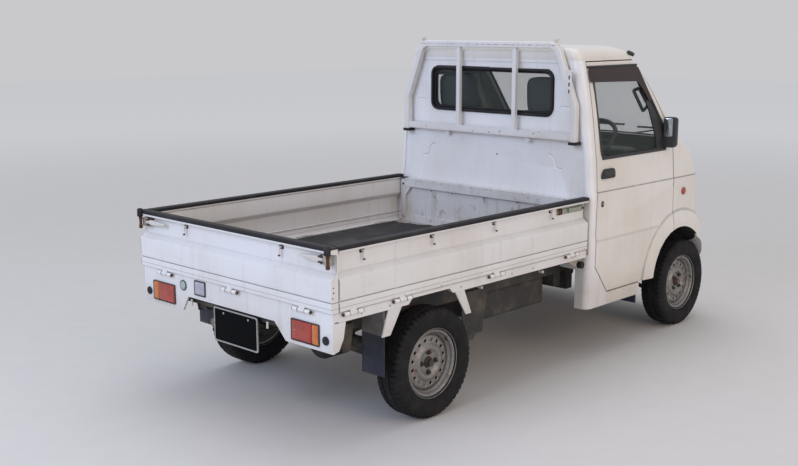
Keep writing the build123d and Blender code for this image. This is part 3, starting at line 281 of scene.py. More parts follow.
cab_paint = aged_paint("cab_paint", CREAM, (0.30, 0.52), 0.22, 0.25, cab_rust,
                       seams=cab_painted_shade)
# The rear wall's copy of the cab's paint is lighter and bluer: painted light from behind the
# truck.
cab_rear_lit_paint = aged_paint("cab_rear_lit_paint", (0.79, 0.80, 0.83), (0.3, 0.6), 0.32, 0.6,
                            cab_rust)
cab_trim = aged_paint("cab_trim", (0.13, 0.13, 0.125), (0.3, 0.8), 0.5, 0.4, gloss=0.5)
bed_paint = aged_paint("bed_paint", COOL_WHITE, (0.44, 0.62), 0.36, 0.9, bed_rust,
                       seams=gate_painted_shade)
wall_paint = aged_paint("wall_paint", (0.67, 0.68, 0.69), (0.64, 0.9), 0.85, 1.0, wall_rust,
                        soot=0.8)
guard_paint = aged_paint("guard_paint", (0.71, 0.715, 0.73), (1.1, 1.2), 0.4, 0.9, guard_rust)
hinge_paint = aged_paint("hinge_paint", (0.82, 0.81, 0.79), (0.60, 0.63), 0.2, 0.5)
under_paint = aged_paint("under_paint", (0.38, 0.36, 0.33), (0.3, 0.7), 0.9, 1.0, bed_rust,
                         0.6, 0.7)
print("paints made")

# %% [markdown]
# Rubber, plastic, glass and bare metal come next. None is one flat colour: rubber greys
# with dust on top, zinc has a mottled grain, cast parts carry road dirt.

# %% Dark, clear and metal finishes
def dark_finish(name, colour, dust, dusty=0.4, rough=0.6, grain=220, depth=0.0004, shine=0.5):
    """Rubber or plastic with a fine grain and dust lying on it."""
    f = Finish(name)
    cloud = f.noise(5, 6, 0.6)
    grit = f.noise(grain, 4, 0.6)
    lying = cloud.ramp(0.42, 0.75) * dusty + grit.ramp(0.55, 0.8) * dusty * 0.5
    return f.shade(f.mix(lying, colour, dust), rough + lying * 0.25,
                   normal=f.bump(grit, depth, 0.5), Specular_IOR_Level=shine)


def worn_metal(name, colour, rust=0.4, rough=0.42, metallic=0.85, bright=RUST_BRIGHT):
    """Zinc or steel with a mottled grain, rusting in patches."""
    f = Finish(name)
    grain = f.noise(120, 5, 0.6)
    patch = f.noise(22, 7, 0.65).ramp(0.62 - rust * 0.22, 0.72 - rust * 0.1)
    tone = f.mix(grain.ramp(0.3, 0.7), colour, tuple(np.multiply(colour, 0.72)))
    return f.shade(f.mix(patch, tone, rust_colour(f, bright)),
                   rough + patch * 0.4 + grain * 0.08, (1 - patch) * metallic,
                   f.bump(grain + patch * 0.8, 0.0005, 0.5))


GREY_DUST, ROAD_DUST = (0.13, 0.12, 0.11), (0.17, 0.14, 0.105)
black_rubber = dark_finish("black_rubber", (0.013, 0.012, 0.015), GREY_DUST, 0.18, shine=0.3)
arch_black = dark_finish("arch_black", (0.011, 0.010, 0.010), (0.035, 0.030, 0.026), 0.5, 0.8,
                         60, 0.0012)
bed_mat_rubber = dark_finish("bed_mat_rubber", (0.030, 0.030, 0.032), (0.12, 0.11, 0.10),
                             0.55, 0.8, 90, 0.0015, 0.3)
black_plastic = dark_finish("black_plastic", (0.018, 0.018, 0.02), (0.10, 0.095, 0.09),
                            0.25, 0.45)
dash_plastic = dark_finish("dash_plastic", (0.022, 0.022, 0.024), GREY_DUST, 0.2, 0.6, 300)
frame_black = dark_finish("frame_black", (0.028, 0.027, 0.026), ROAD_DUST, 0.75, 0.62, 60,
                          0.0012)
seat_cloth = dark_finish("seat_cloth", (0.045, 0.047, 0.052), (0.09, 0.09, 0.09), 0.3, 0.85,
                         420, 0.0012)
hole_shade = dark_finish("hole_shade", (0.010, 0.009, 0.009), (0.03, 0.022, 0.016), 0.5, 0.8)
white_peg = dark_finish("white_peg", (0.62, 0.60, 0.55), (0.35, 0.31, 0.25), 0.5, 0.5)
plate_black = dark_finish("plate_black", (0.004, 0.004, 0.0045), (0.012, 0.012, 0.012), 0.1,
                          0.8, shine=0.08)
galvanised = worn_metal("galvanised", (0.56, 0.55, 0.50), 0.45)
latch_zinc = worn_metal("latch_zinc", (0.47, 0.49, 0.40), 0.40, 0.38)
plate_frame = worn_metal("plate_frame", (0.50, 0.50, 0.49), 0.05, 0.35, 0.8)
exhaust_steel = worn_metal("exhaust_steel", (0.32, 0.27, 0.22), 1.0, 0.55, 0.6)
cast_iron = worn_metal("cast_iron", (0.16, 0.155, 0.15), 0.7, 0.6, 0.5)
hub_iron = worn_metal("hub_iron", (0.06, 0.057, 0.056), 0.9, 0.65, 0.4, (0.045, 0.024, 0.018))
rust_spot = worn_metal("rust_spot", (0.07, 0.05, 0.042), 1.6, 0.7, 0.3, (0.10, 0.046, 0.027))
wheel_silver = worn_metal("wheel_silver", (0.29, 0.284, 0.272), 0.30, 0.40, 0.6)


def flap_finish():
    """A navy flap that hangs from a dirty plate behind the wheel, and the painted guard in
    front of it, told apart by their place along the truck."""
    f = Finish("flap_rubber")
    cloud, grit = f.noise(9, 6, 0.6), f.noise(90, 4, 0.6)
    rubber = f.mix(cloud.ramp(0.42, 0.75) * 0.4, (0.018, 0.023, 0.042), GREY_DUST)
    upper = f.mix(cloud.ramp(0.35, 0.7) * 0.7, (0.20, 0.195, 0.185), (0.09, 0.08, 0.07))
    behind = f.z.ramp(0.478, 0.482) * (f.y > 0.9)
    guard = f.mix(cloud.ramp(0.4, 0.75) * 0.6, (0.44, 0.41, 0.37), (0.17, 0.14, 0.11))
    guard = f.mix(f.noise(38, 4, 0.6).ramp(0.64, 0.70), guard, RUST_DARK)
    tone = f.mix(f.band(f.y, 0.69, 0.12, 0.01), f.mix(behind, rubber, upper), guard)
    return f.shade(tone, 0.55 + grit * 0.2, normal=f.bump(grit, 0.0004, 0.5))


def clear_glass(name, tint, alpha, rough=0.03):
    """Window glass: green-grey, thin, with dust that dulls it."""
    f = Finish(name)
    dust = f.noise(3, 5, 0.6).ramp(0.4, 0.8) * 0.05
    return f.shade(tint, rough, Alpha=dust + alpha, IOR=1.45)


def lens(name, colour, rough=0.12, ribs=0.0006, cloudy=0.72):
    """A moulded lamp lens with fine ribs behind a glossy face."""
    f = Finish(name)
    pattern = f.noise(30, 3)
    height = (f.x * 520).math("SINE") + (f.z * 520).math("SINE")
    tone = f.mix(pattern.ramp(0.3, 0.7), colour, tuple(np.multiply(colour, cloudy)))
    return f.shade(tone, rough + pattern * 0.08, normal=f.bump(height, ribs, 0.6),
                   Coat_Weight=0.6, Coat_Roughness=0.05)


def mirror_face():
    f = Finish("mirror_silver")
    film = f.noise(6, 4).ramp(0.5, 0.8)
    tone = f.mix(film, (0.40, 0.42, 0.43), (0.34, 0.35, 0.36))
    return f.shade(tone, 0.12 + film * 0.2, 1.0)


def tyre_rubber():
    """Dark dry rubber with a brown bloom."""
    f = Finish("tyre_rubber")
    cloud, grit = f.noise(14, 6, 0.6), f.noise(260, 4, 0.6)
    shade = f.mix(cloud.ramp(0.40, 0.8) * 0.5, (0.010, 0.010, 0.0115), (0.036, 0.033, 0.030))
    return f.shade(shade, 0.72 + grit * 0.12, normal=f.bump(grit, 0.0004, 0.6),
                   Specular_IOR_Level=0.25)


flap_rubber = flap_finish()
window_glass = clear_glass("window_glass", (0.09, 0.118, 0.108), 0.135)
smoked_visor = clear_glass("smoked_visor", (0.030, 0.014, 0.010), 0.90, 0.06)
mirror_silver, tyre_black = mirror_face(), tyre_rubber()
red_lens = lens("red_lens", (0.40, 0.034, 0.016))
amber_lens = lens("amber_lens", (0.62, 0.16, 0.02))
repeater_lens = lens("repeater_lens", (0.42, 0.055, 0.018))
clear_lens = lens("clear_lens", (0.42, 0.42, 0.47), ribs=0.00072)
head_lens = lens("head_lens", (0.50, 0.51, 0.525), 0.07, 0.00072, 0.94)
green_lens = lens("green_lens", (0.36, 0.46, 0.40))
print("finishes made", len(bpy.data.materials))

# %% [markdown]
# Shapes are put together from whole arrays of points. Sizes here are in millimetres, as in
# the part's drawing, and turn into metres when a piece is made. Every shape is closed, so
# its faces can all be turned outwards by themselves.

# %% Forms: points and faces under construction
MM = 0.001
AXES = {"X": (0, 1, 2), "Y": (1, 0, 2), "Z": (1, 2, 0)}


class Form:
    """Points and faces being put together; each face has the number of its finish."""

    def __init__(self, points, faces, finish=0):
        self.points = np.asarray(points, float).reshape(-1, 3)
        rows = faces.tolist() if isinstance(faces, np.ndarray) else faces
        self.faces = [tuple(row) for row in rows]
        self.finish = [finish] * len(self.faces)

    def __add__(self, other):
        return total([self, other])

    def moved(self, x=0.0, y=0.0, z=0.0):
        return self.changed(self.points + (x, y, z))

    def changed(self, points):
        copy = Form(points, [])
        copy.faces, copy.finish = list(self.faces), list(self.finish)
        return copy

    def turned(self, axis, degrees):
        matrix = np.array(Matrix.Rotation(math.radians(degrees), 3, axis))
        return self.changed(self.points @ matrix.T)

    def mirrored(self, x=-1.0, y=1.0):
        """The same form for the other side: the points' x or y change sign."""
        copy = self.changed(self.points * (x, y, 1.0))
        copy.faces = [face[::-1] for face in copy.faces]
        return copy


def total(forms):
    """One form from many, their points stacked once."""
    shifts = np.cumsum([0] + [len(form.points) for form in forms[:-1]])
    whole = Form(np.vstack([form.points for form in forms]), [])
    for form, shift in zip(forms, shifts):
        whole.faces += [tuple(i + int(shift) for i in face) for face in form.faces]
        whole.finish += form.finish
    return whole


def both(form):
    """A form and its mirror image across the truck's middle plane."""
    return form + form.mirrored()


def placed(axis, along, a, b):
    """Points from their place along an axis and their two other numbers."""
    values = np.broadcast_arrays(along, a, b)
    return np.stack([values[i] for i in AXES[axis]], -1)


def quads(rows, columns, wrap_rows=False, wrap_columns=True):
    """Faces of a grid whose points are stored row by row; either way may be closed."""
    r = np.arange(rows if wrap_rows else rows - 1)[:, None]
    c = np.arange(columns if wrap_columns else columns - 1)[None, :]
    r2, c2 = (r + 1) % rows, (c + 1) % columns
    corners = [r * columns + c, r * columns + c2, r2 * columns + c2, r2 * columns + c]
    return np.stack(np.broadcast_arrays(*corners), -1).reshape(-1, 4)


def skin(rings, finish=0, closed=False):
    """A closed skin through rings of points; its two ends are filled unless it closes up."""
    rings = np.asarray(rings, float)
    count, sides = rings.shape[:2]
    faces = quads(count, sides, wrap_rows=closed).tolist()
    if not closed:
        faces += [list(range(sides)), list(range((count - 1) * sides, count * sides))]
    return Form(rings, faces, finish)


def bent(points, radius, steps=5):
    """A line whose corners are rounded: each corner becomes a quadratic curve that starts
    and ends at the given distance from it, or at 0.45 of the shorter side next to it."""
    points = np.asarray(points, float)
    before, corner, after = points[:-2], points[1:-1], points[2:]
    to_before, to_after = before - corner, after - corner
    len_before, len_after = (np.linalg.norm(v, axis=1, keepdims=True)
                             for v in (to_before, to_after))
    cut = np.minimum(radius, 0.45 * np.minimum(len_before, len_after))
    start, end = corner + to_before / len_before * cut, corner + to_after / len_after * cut
    t = np.linspace(0, 1, steps)[None, :, None]
    arcs = ((1 - t) ** 2 * start[:, None] + 2 * t * (1 - t) * corner[:, None]
            + t ** 2 * end[:, None])
    return np.vstack([points[:1], arcs.reshape(-1, points.shape[1]), points[-1:]])


def loop_bent(points, radius, steps=5):
    """The same for a closed outline."""
    points = np.asarray(points, float)
    ring = np.vstack([points[-1:], points, points[:1]])
    return bent(ring, radius, steps)[1:-1]


def offset_line(line, distance):
    """A flat line moved sideways: each point goes along the mean normal of its sides."""
    step = np.gradient(line, axis=0)
    step /= np.linalg.norm(step, axis=1, keepdims=True)
    return line + np.stack([-step[:, 1], step[:, 0]], 1) * distance


def tube(path, radius, sides=12, finish=0, closed=False, up=(0.03, 0.02, 1.0)):
    """A round rod along a path: rings stand square to the path's direction. The radius may
    be one number or one for each point."""
    path = np.asarray(path, float)
    along = np.roll(path, -1, 0) - np.roll(path, 1, 0) if closed else np.gradient(path, axis=0)
    along /= np.linalg.norm(along, axis=1, keepdims=True)
    side = np.cross(along, up)
    side /= np.linalg.norm(side, axis=1, keepdims=True)
    top = np.cross(side, along)
    turn = np.linspace(0, 2 * np.pi, sides, endpoint=False)[None, :, None]
    size = np.broadcast_to(np.asarray(radius, float), (len(path),))[:, None, None]
    rings = path[:, None] + size * (np.cos(turn) * side[:, None] + np.sin(turn) * top[:, None])
    return skin(rings, finish, closed)


def lathe(profile, sides=64, finish=0, axis="X"):
    """A closed profile of (radius, place along the axis) turned all the way round."""
    profile = np.asarray(profile, float)
    turn = np.linspace(0, 2 * np.pi, sides, endpoint=False)[:, None]
    r, u = profile.T
    points = placed(axis, u, r * np.cos(turn), r * np.sin(turn))
    return Form(points, quads(sides, len(profile), wrap_rows=True), finish)


def plate(outline, low, high, axis="Y", finish=0):
    """A flat outline carried along one axis; its two numbers are the other two axes."""
    return skin(placed(axis, [[low], [high]], *np.transpose(outline)), finish)


def rounded(x0, x1, z0, z1, radius, steps=6):
    """A rectangle's outline with round corners."""
    return loop_bent([(x0, z0), (x1, z0), (x1, z1), (x0, z1)], radius, steps)


def pillow(outline, levels, axis="Y", finish=0):
    """A plate that swells or narrows: at each level the outline shrinks towards its
    middle by a distance. Columns of levels: place along the axis, distance."""
    outline = np.asarray(outline, float)
    middle = outline.mean(0)
    reach = np.abs(outline - middle).max(0)
    at, inset = np.array(levels, float)[:, :, None].transpose(1, 0, 2)
    flat = middle + (outline - middle) * (1 - inset[:, None] / reach)
    return skin(placed(axis, at, flat[..., 0], flat[..., 1]), finish)


def pad(x0, x1, z0, z1, radius, levels, axis="Y", finish=0):
    """A pillow over a rectangle with round corners."""
    return pillow(rounded(x0, x1, z0, z1, radius), levels, axis, finish)


def frame_ring(outline, width, low, high, axis="Y", finish=0):
    """A flat frame: an outline and the same outline drawn in by a width."""
    rings = pillow(outline, [(low, 0), (high, 0), (high, width), (low, width)], axis).points
    return skin(rings.reshape(4, -1, 3), finish, closed=True)


# %% [markdown]
# A piece is a mesh object at the origin that rides on one body. Its doubles are merged and
# its faces turned outwards; a bevel rounds the edges that a hand would find sharp.

# %% Pieces, and dressed copies of CAD nodes
SHARP, SHARP_DRESSED, FLAT = 35, 32, 0.4    # angles between faces, in degrees


def mend(mesh, flatten=0.0):
    """Merges doubles, joins faces that lie in one plane to within an angle in degrees, and
    turns all faces outwards."""
    bm = bmesh.new()
    bm.from_mesh(mesh)
    bmesh.ops.remove_doubles(bm, verts=bm.verts, dist=0.01 * MM)
    if flatten:
        bmesh.ops.dissolve_limit(bm, angle_limit=math.radians(flatten), verts=bm.verts,
                                 edges=bm.edges)
    bmesh.ops.recalc_face_normals(bm, faces=bm.faces)
    bm.to_mesh(mesh)
    bm.free()


def shown(mesh, name, node, finishes, bevel, segments, smooth, replace):
    """The mesh as an object with its finishes that rides with a CAD node's body, and hides the
    node when it replaces it.
    """
    for finish in finishes:
        mesh.materials.append(finish)
    mesh.shade_smooth()
    mesh.set_sharp_from_angle(angle=math.radians(smooth))
    piece = bpy.data.objects.new(name, mesh)
    bpy.context.collection.objects.link(piece)
    if bevel:
        soft = piece.modifiers.new("edges", "BEVEL")
        soft.width, soft.segments, soft.limit_method = bevel * MM, segments, "ANGLE"
        soft.angle_limit, soft.harden_normals = math.radians(smooth - 2), True
    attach(piece, BODY_OF[node])
    if replace:
        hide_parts(node)
    return piece


def make(name, form, finishes, node, bevel=0.0, segments=2, replace=False):
    """A new piece from a form; it rides with the CAD node, and may stand in its place."""
    mesh = bpy.data.meshes.new(name)
    mesh.from_pydata((form.points * MM).tolist(), [], form.faces)
    mesh.polygons.foreach_set("material_index", form.finish)
    mend(mesh)
    return shown(mesh, name, node, finishes, bevel, segments, SHARP, replace)


def instead(node, ending, form, finishes, bevel=0.0, segments=2):
    """A new piece in the place of a CAD node, named after it."""
    return make(node + ending, form, finishes, node, bevel, segments, True)


def dressed(node, finish, others, bevel):
    """A copy of a CAD node with its facets joined and its edges rounded, in its place. Each
    other finish goes to the faces that its function picks by their middles in millimetres
    and their normals."""
    mesh = NODES[node].data.copy()
    mesh.name = node + "_dressed"
    mesh.materials.clear()
    mend(mesh, FLAT)
    middles, normals = (np.empty(len(mesh.polygons) * 3) for _ in range(2))
    mesh.polygons.foreach_get("center", middles)
    mesh.polygons.foreach_get("normal", normals)
    slots = np.zeros(len(mesh.polygons), np.int32)
    for number, (_, picked) in enumerate(others, 1):
        slots[picked(middles.reshape(-1, 3) * 1000, normals.reshape(-1, 3))] = number
    mesh.polygons.foreach_set("material_index", slots)
    finishes = [finish] + [other for other, _ in others]
    return shown(mesh, node + "_dressed", node, finishes, bevel, 2, SHARP_DRESSED, True)


# %% [markdown]
# A pressed steel wheel is two sheets: a rolled barrel, and a stamped disc with sixteen
# holes. The disc is triangulated flat, with its holes left out, and then pushed along the
# axle by a height that depends on the distance from the hub.

# %% Wheels
def flat_mesh(outer, holes, inner_points):
    """Triangles inside an outline and outside its holes, with free points between. Gives
    the flat points and the triangles."""
    borders = [outer] + holes
    starts = np.cumsum([0] + [len(line) for line in borders])
    loops = [np.arange(*span) for span in zip(starts, starts[1:])]
    flat = np.vstack(borders + [inner_points])
    edges = np.vstack([np.stack([loop, np.roll(loop, -1)], 1) for loop in loops])
    result = delaunay_2d_cdt([Vector(p) for p in flat.tolist()], edges.tolist(), [], 0, 1e-5)
    points, faces = np.array([tuple(p) for p in result[0]]), np.array(result[2])
    middles = points[faces].mean(1)
    keep = inside(middles, outer)
    for hole in holes:
        keep &= ~inside(middles, hole)
    return points, faces[keep]


def inside(points, outline):
    """Which points lie inside a closed outline: an even-odd count of its crossings."""
    a, b = outline[None], np.roll(outline, -1, 0)[None]
    p = points[:, None]
    spans = (a[..., 1] > p[..., 1]) != (b[..., 1] > p[..., 1])
    rise = np.where(b[..., 1] == a[..., 1], 1e-12, b[..., 1] - a[..., 1])
    across = a[..., 0] + (p[..., 1] - a[..., 1]) * (b[..., 0] - a[..., 0]) / rise
    return (spans & (p[..., 0] < across)).sum(1) % 2 == 1


def thick(points, faces, front, back, finish=0):
    """A closed sheet from flat triangles and the space points of its two sides; border
    edges, which only one triangle has, get a strip between the sides."""
    count = len(points)
    edges = np.vstack([faces[:, [0, 1]], faces[:, [1, 2]], faces[:, [2, 0]]])
    key = np.sort(edges, 1) @ np.array([count, 1])
    _, first, times = np.unique(key, return_index=True, return_counts=True)
    rim = edges[first[times == 1]]
    strip = np.stack([rim[:, 1], rim[:, 0], rim[:, 0] + count, rim[:, 1] + count], 1)
    rows = faces.tolist() + (faces[:, ::-1] + count).tolist() + strip.tolist()
    return Form(np.vstack([front, back]), rows, finish)


def circle(radius, count, at=(0.0, 0.0)):
    turn = np.linspace(0, 2 * np.pi, count, endpoint=False)
    return np.stack([at[0] + radius * np.cos(turn), at[1] + radius * np.sin(turn)], 1)


def wheel_disc(hole_count=16, hole_ring=112.0, hole_radius=8.5):
    """The stamped disc. Its height over the radius is drawn as a line through a few places
    and rounded; each hole's border is drawn in by a small lip."""
    turn = np.radians(180 / hole_count + 360 / hole_count * np.arange(hole_count))
    centres = hole_ring * np.stack([np.cos(turn), np.sin(turn)], 1)
    holes = [circle(hole_radius, 20, centre) for centre in centres] + [circle(29, 40)]
    rings = [circle(r, int(r * 0.9) + 24) for r in (34, 40, 46, 53, 59, 64, 69, 74, 79, 84, 88,
                                                    92, 97, 127, 131, 135, 139)]
    near = [circle(hole_radius + 3.0, 24, centre) for centre in centres]
    flat, faces = flat_mesh(circle(143, 160), holes, np.vstack(rings + near))
    radius = np.hypot(*flat.T)
    line = bent([(20, 24), (57, 24), (66, 36), (84, 37), (95, 25), (127, 25), (137, 17),
                 (144, 6)], 6, 7)
    height = np.interp(radius, line[:, 0], line[:, 1])
    gap = np.min([np.hypot(*(flat - centre).T) for centre in centres], 0) - hole_radius
    height = height - 2.2 * np.clip(1 - gap / 3.0, 0, 1)
    front = np.stack([height, flat[:, 0], flat[:, 1]], 1)
    return thick(flat, faces, front, front - (4.0, 0, 0))


def wheel_barrel():
    """The rolled barrel: one sheet line from lip to lip, thickened, turned round."""
    half = [(171, 59), (174.5, 56), (173, 52), (166, 49.5), (158, 48.5), (153.5, 44), (152, 36),
            (149, 31), (143, 24), (141, 12), (141, 0)]
    line = bent(half + [(r, -u) for r, u in half[-2::-1]], 3.0, 4)
    loop = np.vstack([offset_line(line, 1.7), offset_line(line, -1.7)[::-1]])
    return lathe(loop, 128)


def wheel_middle():
    """Hub face, bearing cap and four nuts with cone seats and round tops on their studs."""
    cap = lathe(bent([(0.01, 34), (14, 34), (24, 31), (27, 24), (27, 6), (0.01, 6)], 4, 4), 32)
    face = lathe([(0.01, 12), (0.01, 19), (36, 19), (52, 17), (52, 12)], 40)
    nut = pillow(circle(11.5, 6), [(0, -3.5), (3, -1.5), (3.2, 0), (8.5, 0), (11, 2.2),
                                   (11.6, 5)], "X").moved(25, 50, 0)
    nut += tube([(24, 50, 0), (42, 50, 0)], 5.2, 12)
    hub = total([cap, face] + [nut.turned("X", turn) for turn in (45, 135, 225, 315)])
    hub.finish = [1] * len(hub.faces)
    return hub


def tyre_form(radius=274.0, rim=165.0, sides=336, lugs=56):
    """A tyre as one grid. Its section runs from bead to bead round the tread. The tread's
    grooves are dents: two run round it, and the shoulders are cut across once a lug."""
    half = [(0.0, 52), (0.04, 54.5), (0.07, 54), (0.12, 60), (0.17, 64.5), (0.19, 64.2),
            (0.21, 66), (0.34, 70), (0.42, 71.5), (0.44, 71.2), (0.46, 72.2), (0.62, 72.5),
            (0.74, 70.5), (0.76, 69.9), (0.78, 69.6), (0.86, 66.5), (0.92, 63), (0.955, 59.5),
            (0.98, 55), (0.99, 50), (0.995, 44), (0.996, 36), (0.998, 27), (0.998, 25.5),
            (0.998, 20.5), (0.998, 19), (1.0, 9), (1.0, 0)]
    line = np.array(half + [(share, -u) for share, u in half[-2::-1]])
    r, u = rim + (radius - rim) * line[:, 0], line[:, 1]
    turn = np.linspace(0, 1, sides, endpoint=False)[:, None]
    shoulder = (np.abs(u) > 28) & (r > rim + (radius - rim) * 0.85)
    lug = ((turn * lugs + 0.5 * (u[None] > 0)) % 1.0) < 0.28
    middle_cut = ((turn * lugs + 0.25) % 1.0 < 0.17) & (np.abs(u)[None] < 17)
    groove = (np.abs(np.abs(u) - 23) < 3.0)[None] & (r > rim + 100)[None]
    dent = np.maximum.reduce([7.0 * (shoulder[None] & lug), 6.5 * groove * np.ones_like(lug),
                              3.0 * middle_cut])
    dent = dent * np.clip((r - rim - (radius - rim) * 0.80) / 14, 0, 1)[None]
    size = r[None] - dent
    angle = 2 * np.pi * turn
    lining = [(97, 0), (92, 50), (60, 62), (14, 58), (-3, 46)]
    inner = np.array([(rim + out, -at) for out, at in lining[:0:-1]]
                     + [(rim + out, at) for out, at in lining])
    rings = [placed("X", at, far * np.cos(angle), far * np.sin(angle))
             for far, at in ((size, u), inner.T)]
    grid = np.concatenate(rings, 1)
    return Form(grid, quads(sides, grid.shape[1], wrap_rows=True))


SIDES = (("l", lambda form: form), ("r", Form.mirrored))
valve = tube(bent([(38, 0, 146), (50, 0, 143), (60, 0, 138)], 6, 4), 3.2, 8, 2)
steel = total([wheel_barrel(), wheel_disc(), wheel_middle(), valve])
WHEEL = (("tyre_", tyre_form(), [tyre_black]),
         ("rim_", steel, [wheel_silver, hub_iron, black_rubber]))
for end, degrees in (("f", 86), ("r", 46)):
    for side, facing in SIDES:
        low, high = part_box("tyre_" + end + side)
        centre = (np.array(low) + np.array(high)) * 500    # in millimetres
        for node, form, finishes in WHEEL:
            form = facing(form.turned("X", degrees)).moved(*centre)
            instead(node + end + side, "_fine", form, finishes)
print("wheels made")

# %% [markdown]
# Panels keep the CAD's surfaces. A dressed copy joins its facets, rounds its edges and
# takes a second finish where the sheet's inner side or a wheel arch is seen.

# %% Panels of the cab, the bed and the running gear
CAB_HALF, CAB_REAR, FRONT, CAB_MIDDLE = 737.5, -262.0, -1697.5, (0, -850, 900)
ARCHES = ((310.0, -1240.0, 343.0), (305.0, -1347.0, 274.0))    # radius, y, z


def arch_lining(c, n):
    """Faces of the front wheel arches: on either circle, and not facing sideways."""
    on_arch = [np.abs(np.hypot(c[:, 1] - y, c[:, 2] - z) - radius) < 9
               for radius, y, z in ARCHES]
    return np.any(on_arch, 0) & (np.abs(n[:, 0]) < 0.4) & (np.abs(c[:, 0]) > 150)


def cab_inside(c, n):
    """Faces that look towards the cab's middle, off its sides and before its rear wall."""
    from_middle = (c - CAB_MIDDLE) * (1, 1, 0.6)
    inward = (n * from_middle).sum(1) < -40
    return inward & (np.abs(c[:, 0]) < 716) & (c[:, 1] < CAB_REAR - 20)


def off_the_sides(half):
    """Faces nearer to the middle plane than a distance, or that look down."""
    return lambda c, n: (np.abs(c[:, 0]) < half) | (n[:, 2] < -0.6)


CAB_SKINS = [(cab_trim, cab_inside), (arch_black, arch_lining)]
PANELS = [
    # node, finish, further finishes with their faces, bevel in millimetres
    ("cab_front_panel", cab_paint, CAB_SKINS, 2.0),
    ("cab_roof", cab_paint, CAB_SKINS[:1], 2.0),
    ("cab_rear_wall", cab_rear_lit_paint, CAB_SKINS[:1], 2.0),
    ("door_l", cab_paint, CAB_SKINS, 2.2), ("door_r", cab_paint, CAB_SKINS, 2.2),
    ("cab_floor", cab_paint,
     [(arch_black, off_the_sides(691)), (arch_black, arch_lining)], 1.5),
    ("front_bumper", cab_paint, (), 3.0),
    ("bed_deck", bed_paint, [(under_paint, off_the_sides(700))], 1.2),
    ("bed_front_wall", wall_paint, (), 1.5),
    ("rear_panel", bed_paint, [(under_paint, lambda c, n: n[:, 1] < -0.5)], 1.5),
    ("guard_frame", guard_paint, (), 1.0), ("ladder_frame", frame_black, (), 2.0),
    ("frame_members", frame_black, (), 1.5), ("seat_box", frame_black, (), 3.0),
    ("rear_axle", frame_black, (), 2.0), ("leaf_springs", frame_black, (), 1.0),
    ("front_suspension", frame_black, (), 1.5), ("knuckle_l", cast_iron, (), 1.5),
    ("knuckle_r", cast_iron, (), 1.5), ("fuel_tank", frame_black, (), 1.0),
    ("exhaust", exhaust_steel, (), 1.0), ("engine", cast_iron, (), 12.0),
    ("dashboard", dash_plastic, (), 4.0), ("mud_flaps", flap_rubber, (), 1.0),
    ("bump_stops", black_rubber, (), 2.5), ("antenna_base", black_plastic, (), 1.0),
    ("front_lamps", head_lens, (), 2.0),
]
for row in PANELS:
    dressed(*row)
print("panels dressed", len(PANELS))

# %% [markdown]
# A gate is one pressed sheet, folded over at the top and hemmed below. Its section is a
# line through the folds, rounded and thickened, and drawn along the gate's length. Hooks,
# hinges and latches are rods, plates and turned parts on it.

# %% Gates with their hooks, hinges and latches
BED_HALF, GATE_BOTTOM, GATE_HIGH = 728.0, 652.0, 286.0
SIDE_FRONT, SIDE_LENGTH, TAIL_FACE = -248.0, 1889.5, 1688.5
FOLDS = [(-16, 2), (0, 2), (0, 46), (-7, 50), (0, 54), (0, 150), (-34, 176), (-34, 262),
         (0, 266), (0, 285.5), (-41, 285.5), (-41, 268)]


def gate_sheet(length):
    """The folded sheet with its two closed ends, and three pits rusted into each end."""
    line = bent(FOLDS, 5.0, 5)
    shell = np.vstack([line, offset_line(line, 3.2)[::-1]])
    ends = loop_bent([(-41, 2), (0, 2), (0, 46), (-5, 50), (0, 54), (0, 150), (-34, 176),
                      (-34, 262), (0, 266), (0, 285), (-41, 285)], 3.0, 3)
    lens_shape = [(-0.6, 1), (-0.2, 0), (0.2, 0), (0.6, 1)]
    pits = total([pillow(circle(r, 12, (x, z)), lens_shape, "Y", 1)
                  for x, z, r in ((-12, 118, 3.2), (-14, 96, 4.2), (-9, 72, 3.6))])
    return total([plate(shell, 1, length - 1), plate(ends, 0, 3.5),
                  plate(ends, length - 3.5, length), pits, pits.moved(y=length)])


def rope_hook(y, z):
    """A thick rod that comes out of the gate's web and hangs down, on a riveted plate."""
    base = pad(y - 15, y + 15, z - 2, z + 17, 5, [(-34.5, 0), (-32, 0), (-31.4, 1)], "X", 1)
    rod = tube(bent([(-33, y, z + 8), (-17.5, y, z + 8), (-17.5, y, z - 31)], 10, 6),
               [5.4] * 7 + [4.6], 12)
    rivets = [pillow(circle(2.8, 12, (y + side, z + 6)), [(-32, 0), (-30.6, 0.4), (-30, 1.4)],
                     "X", 1) for side in (-10.5, 10.5)]
    foot = tube([(-17.5, y, z - 26), (-17.5, y, z - 32), (-17.5, y, z - 34)], [5.9, 5.9, 4.2],
                12, 1)
    return total([base, rod, foot] + rivets)


def gate_knuckle(y):
    """The gate's half of a hinge: a rolled barrel and the leaf that goes up the sheet."""
    barrel = lathe([(4.4, -21.5), (8.2, -21.5), (8.9, -20.5), (8.9, 20.5), (8.2, 21.5),
                    (4.4, 21.5)], 24, 0, "Y").moved(1.5, y, -11)
    leaf = plate(loop_bent([(6, -10), (2.4, -2), (2.4, 9), (0.2, 10), (-0.4, -2), (-3, -10)],
                           1.5, 3), y - 20, y + 20)
    return barrel + leaf


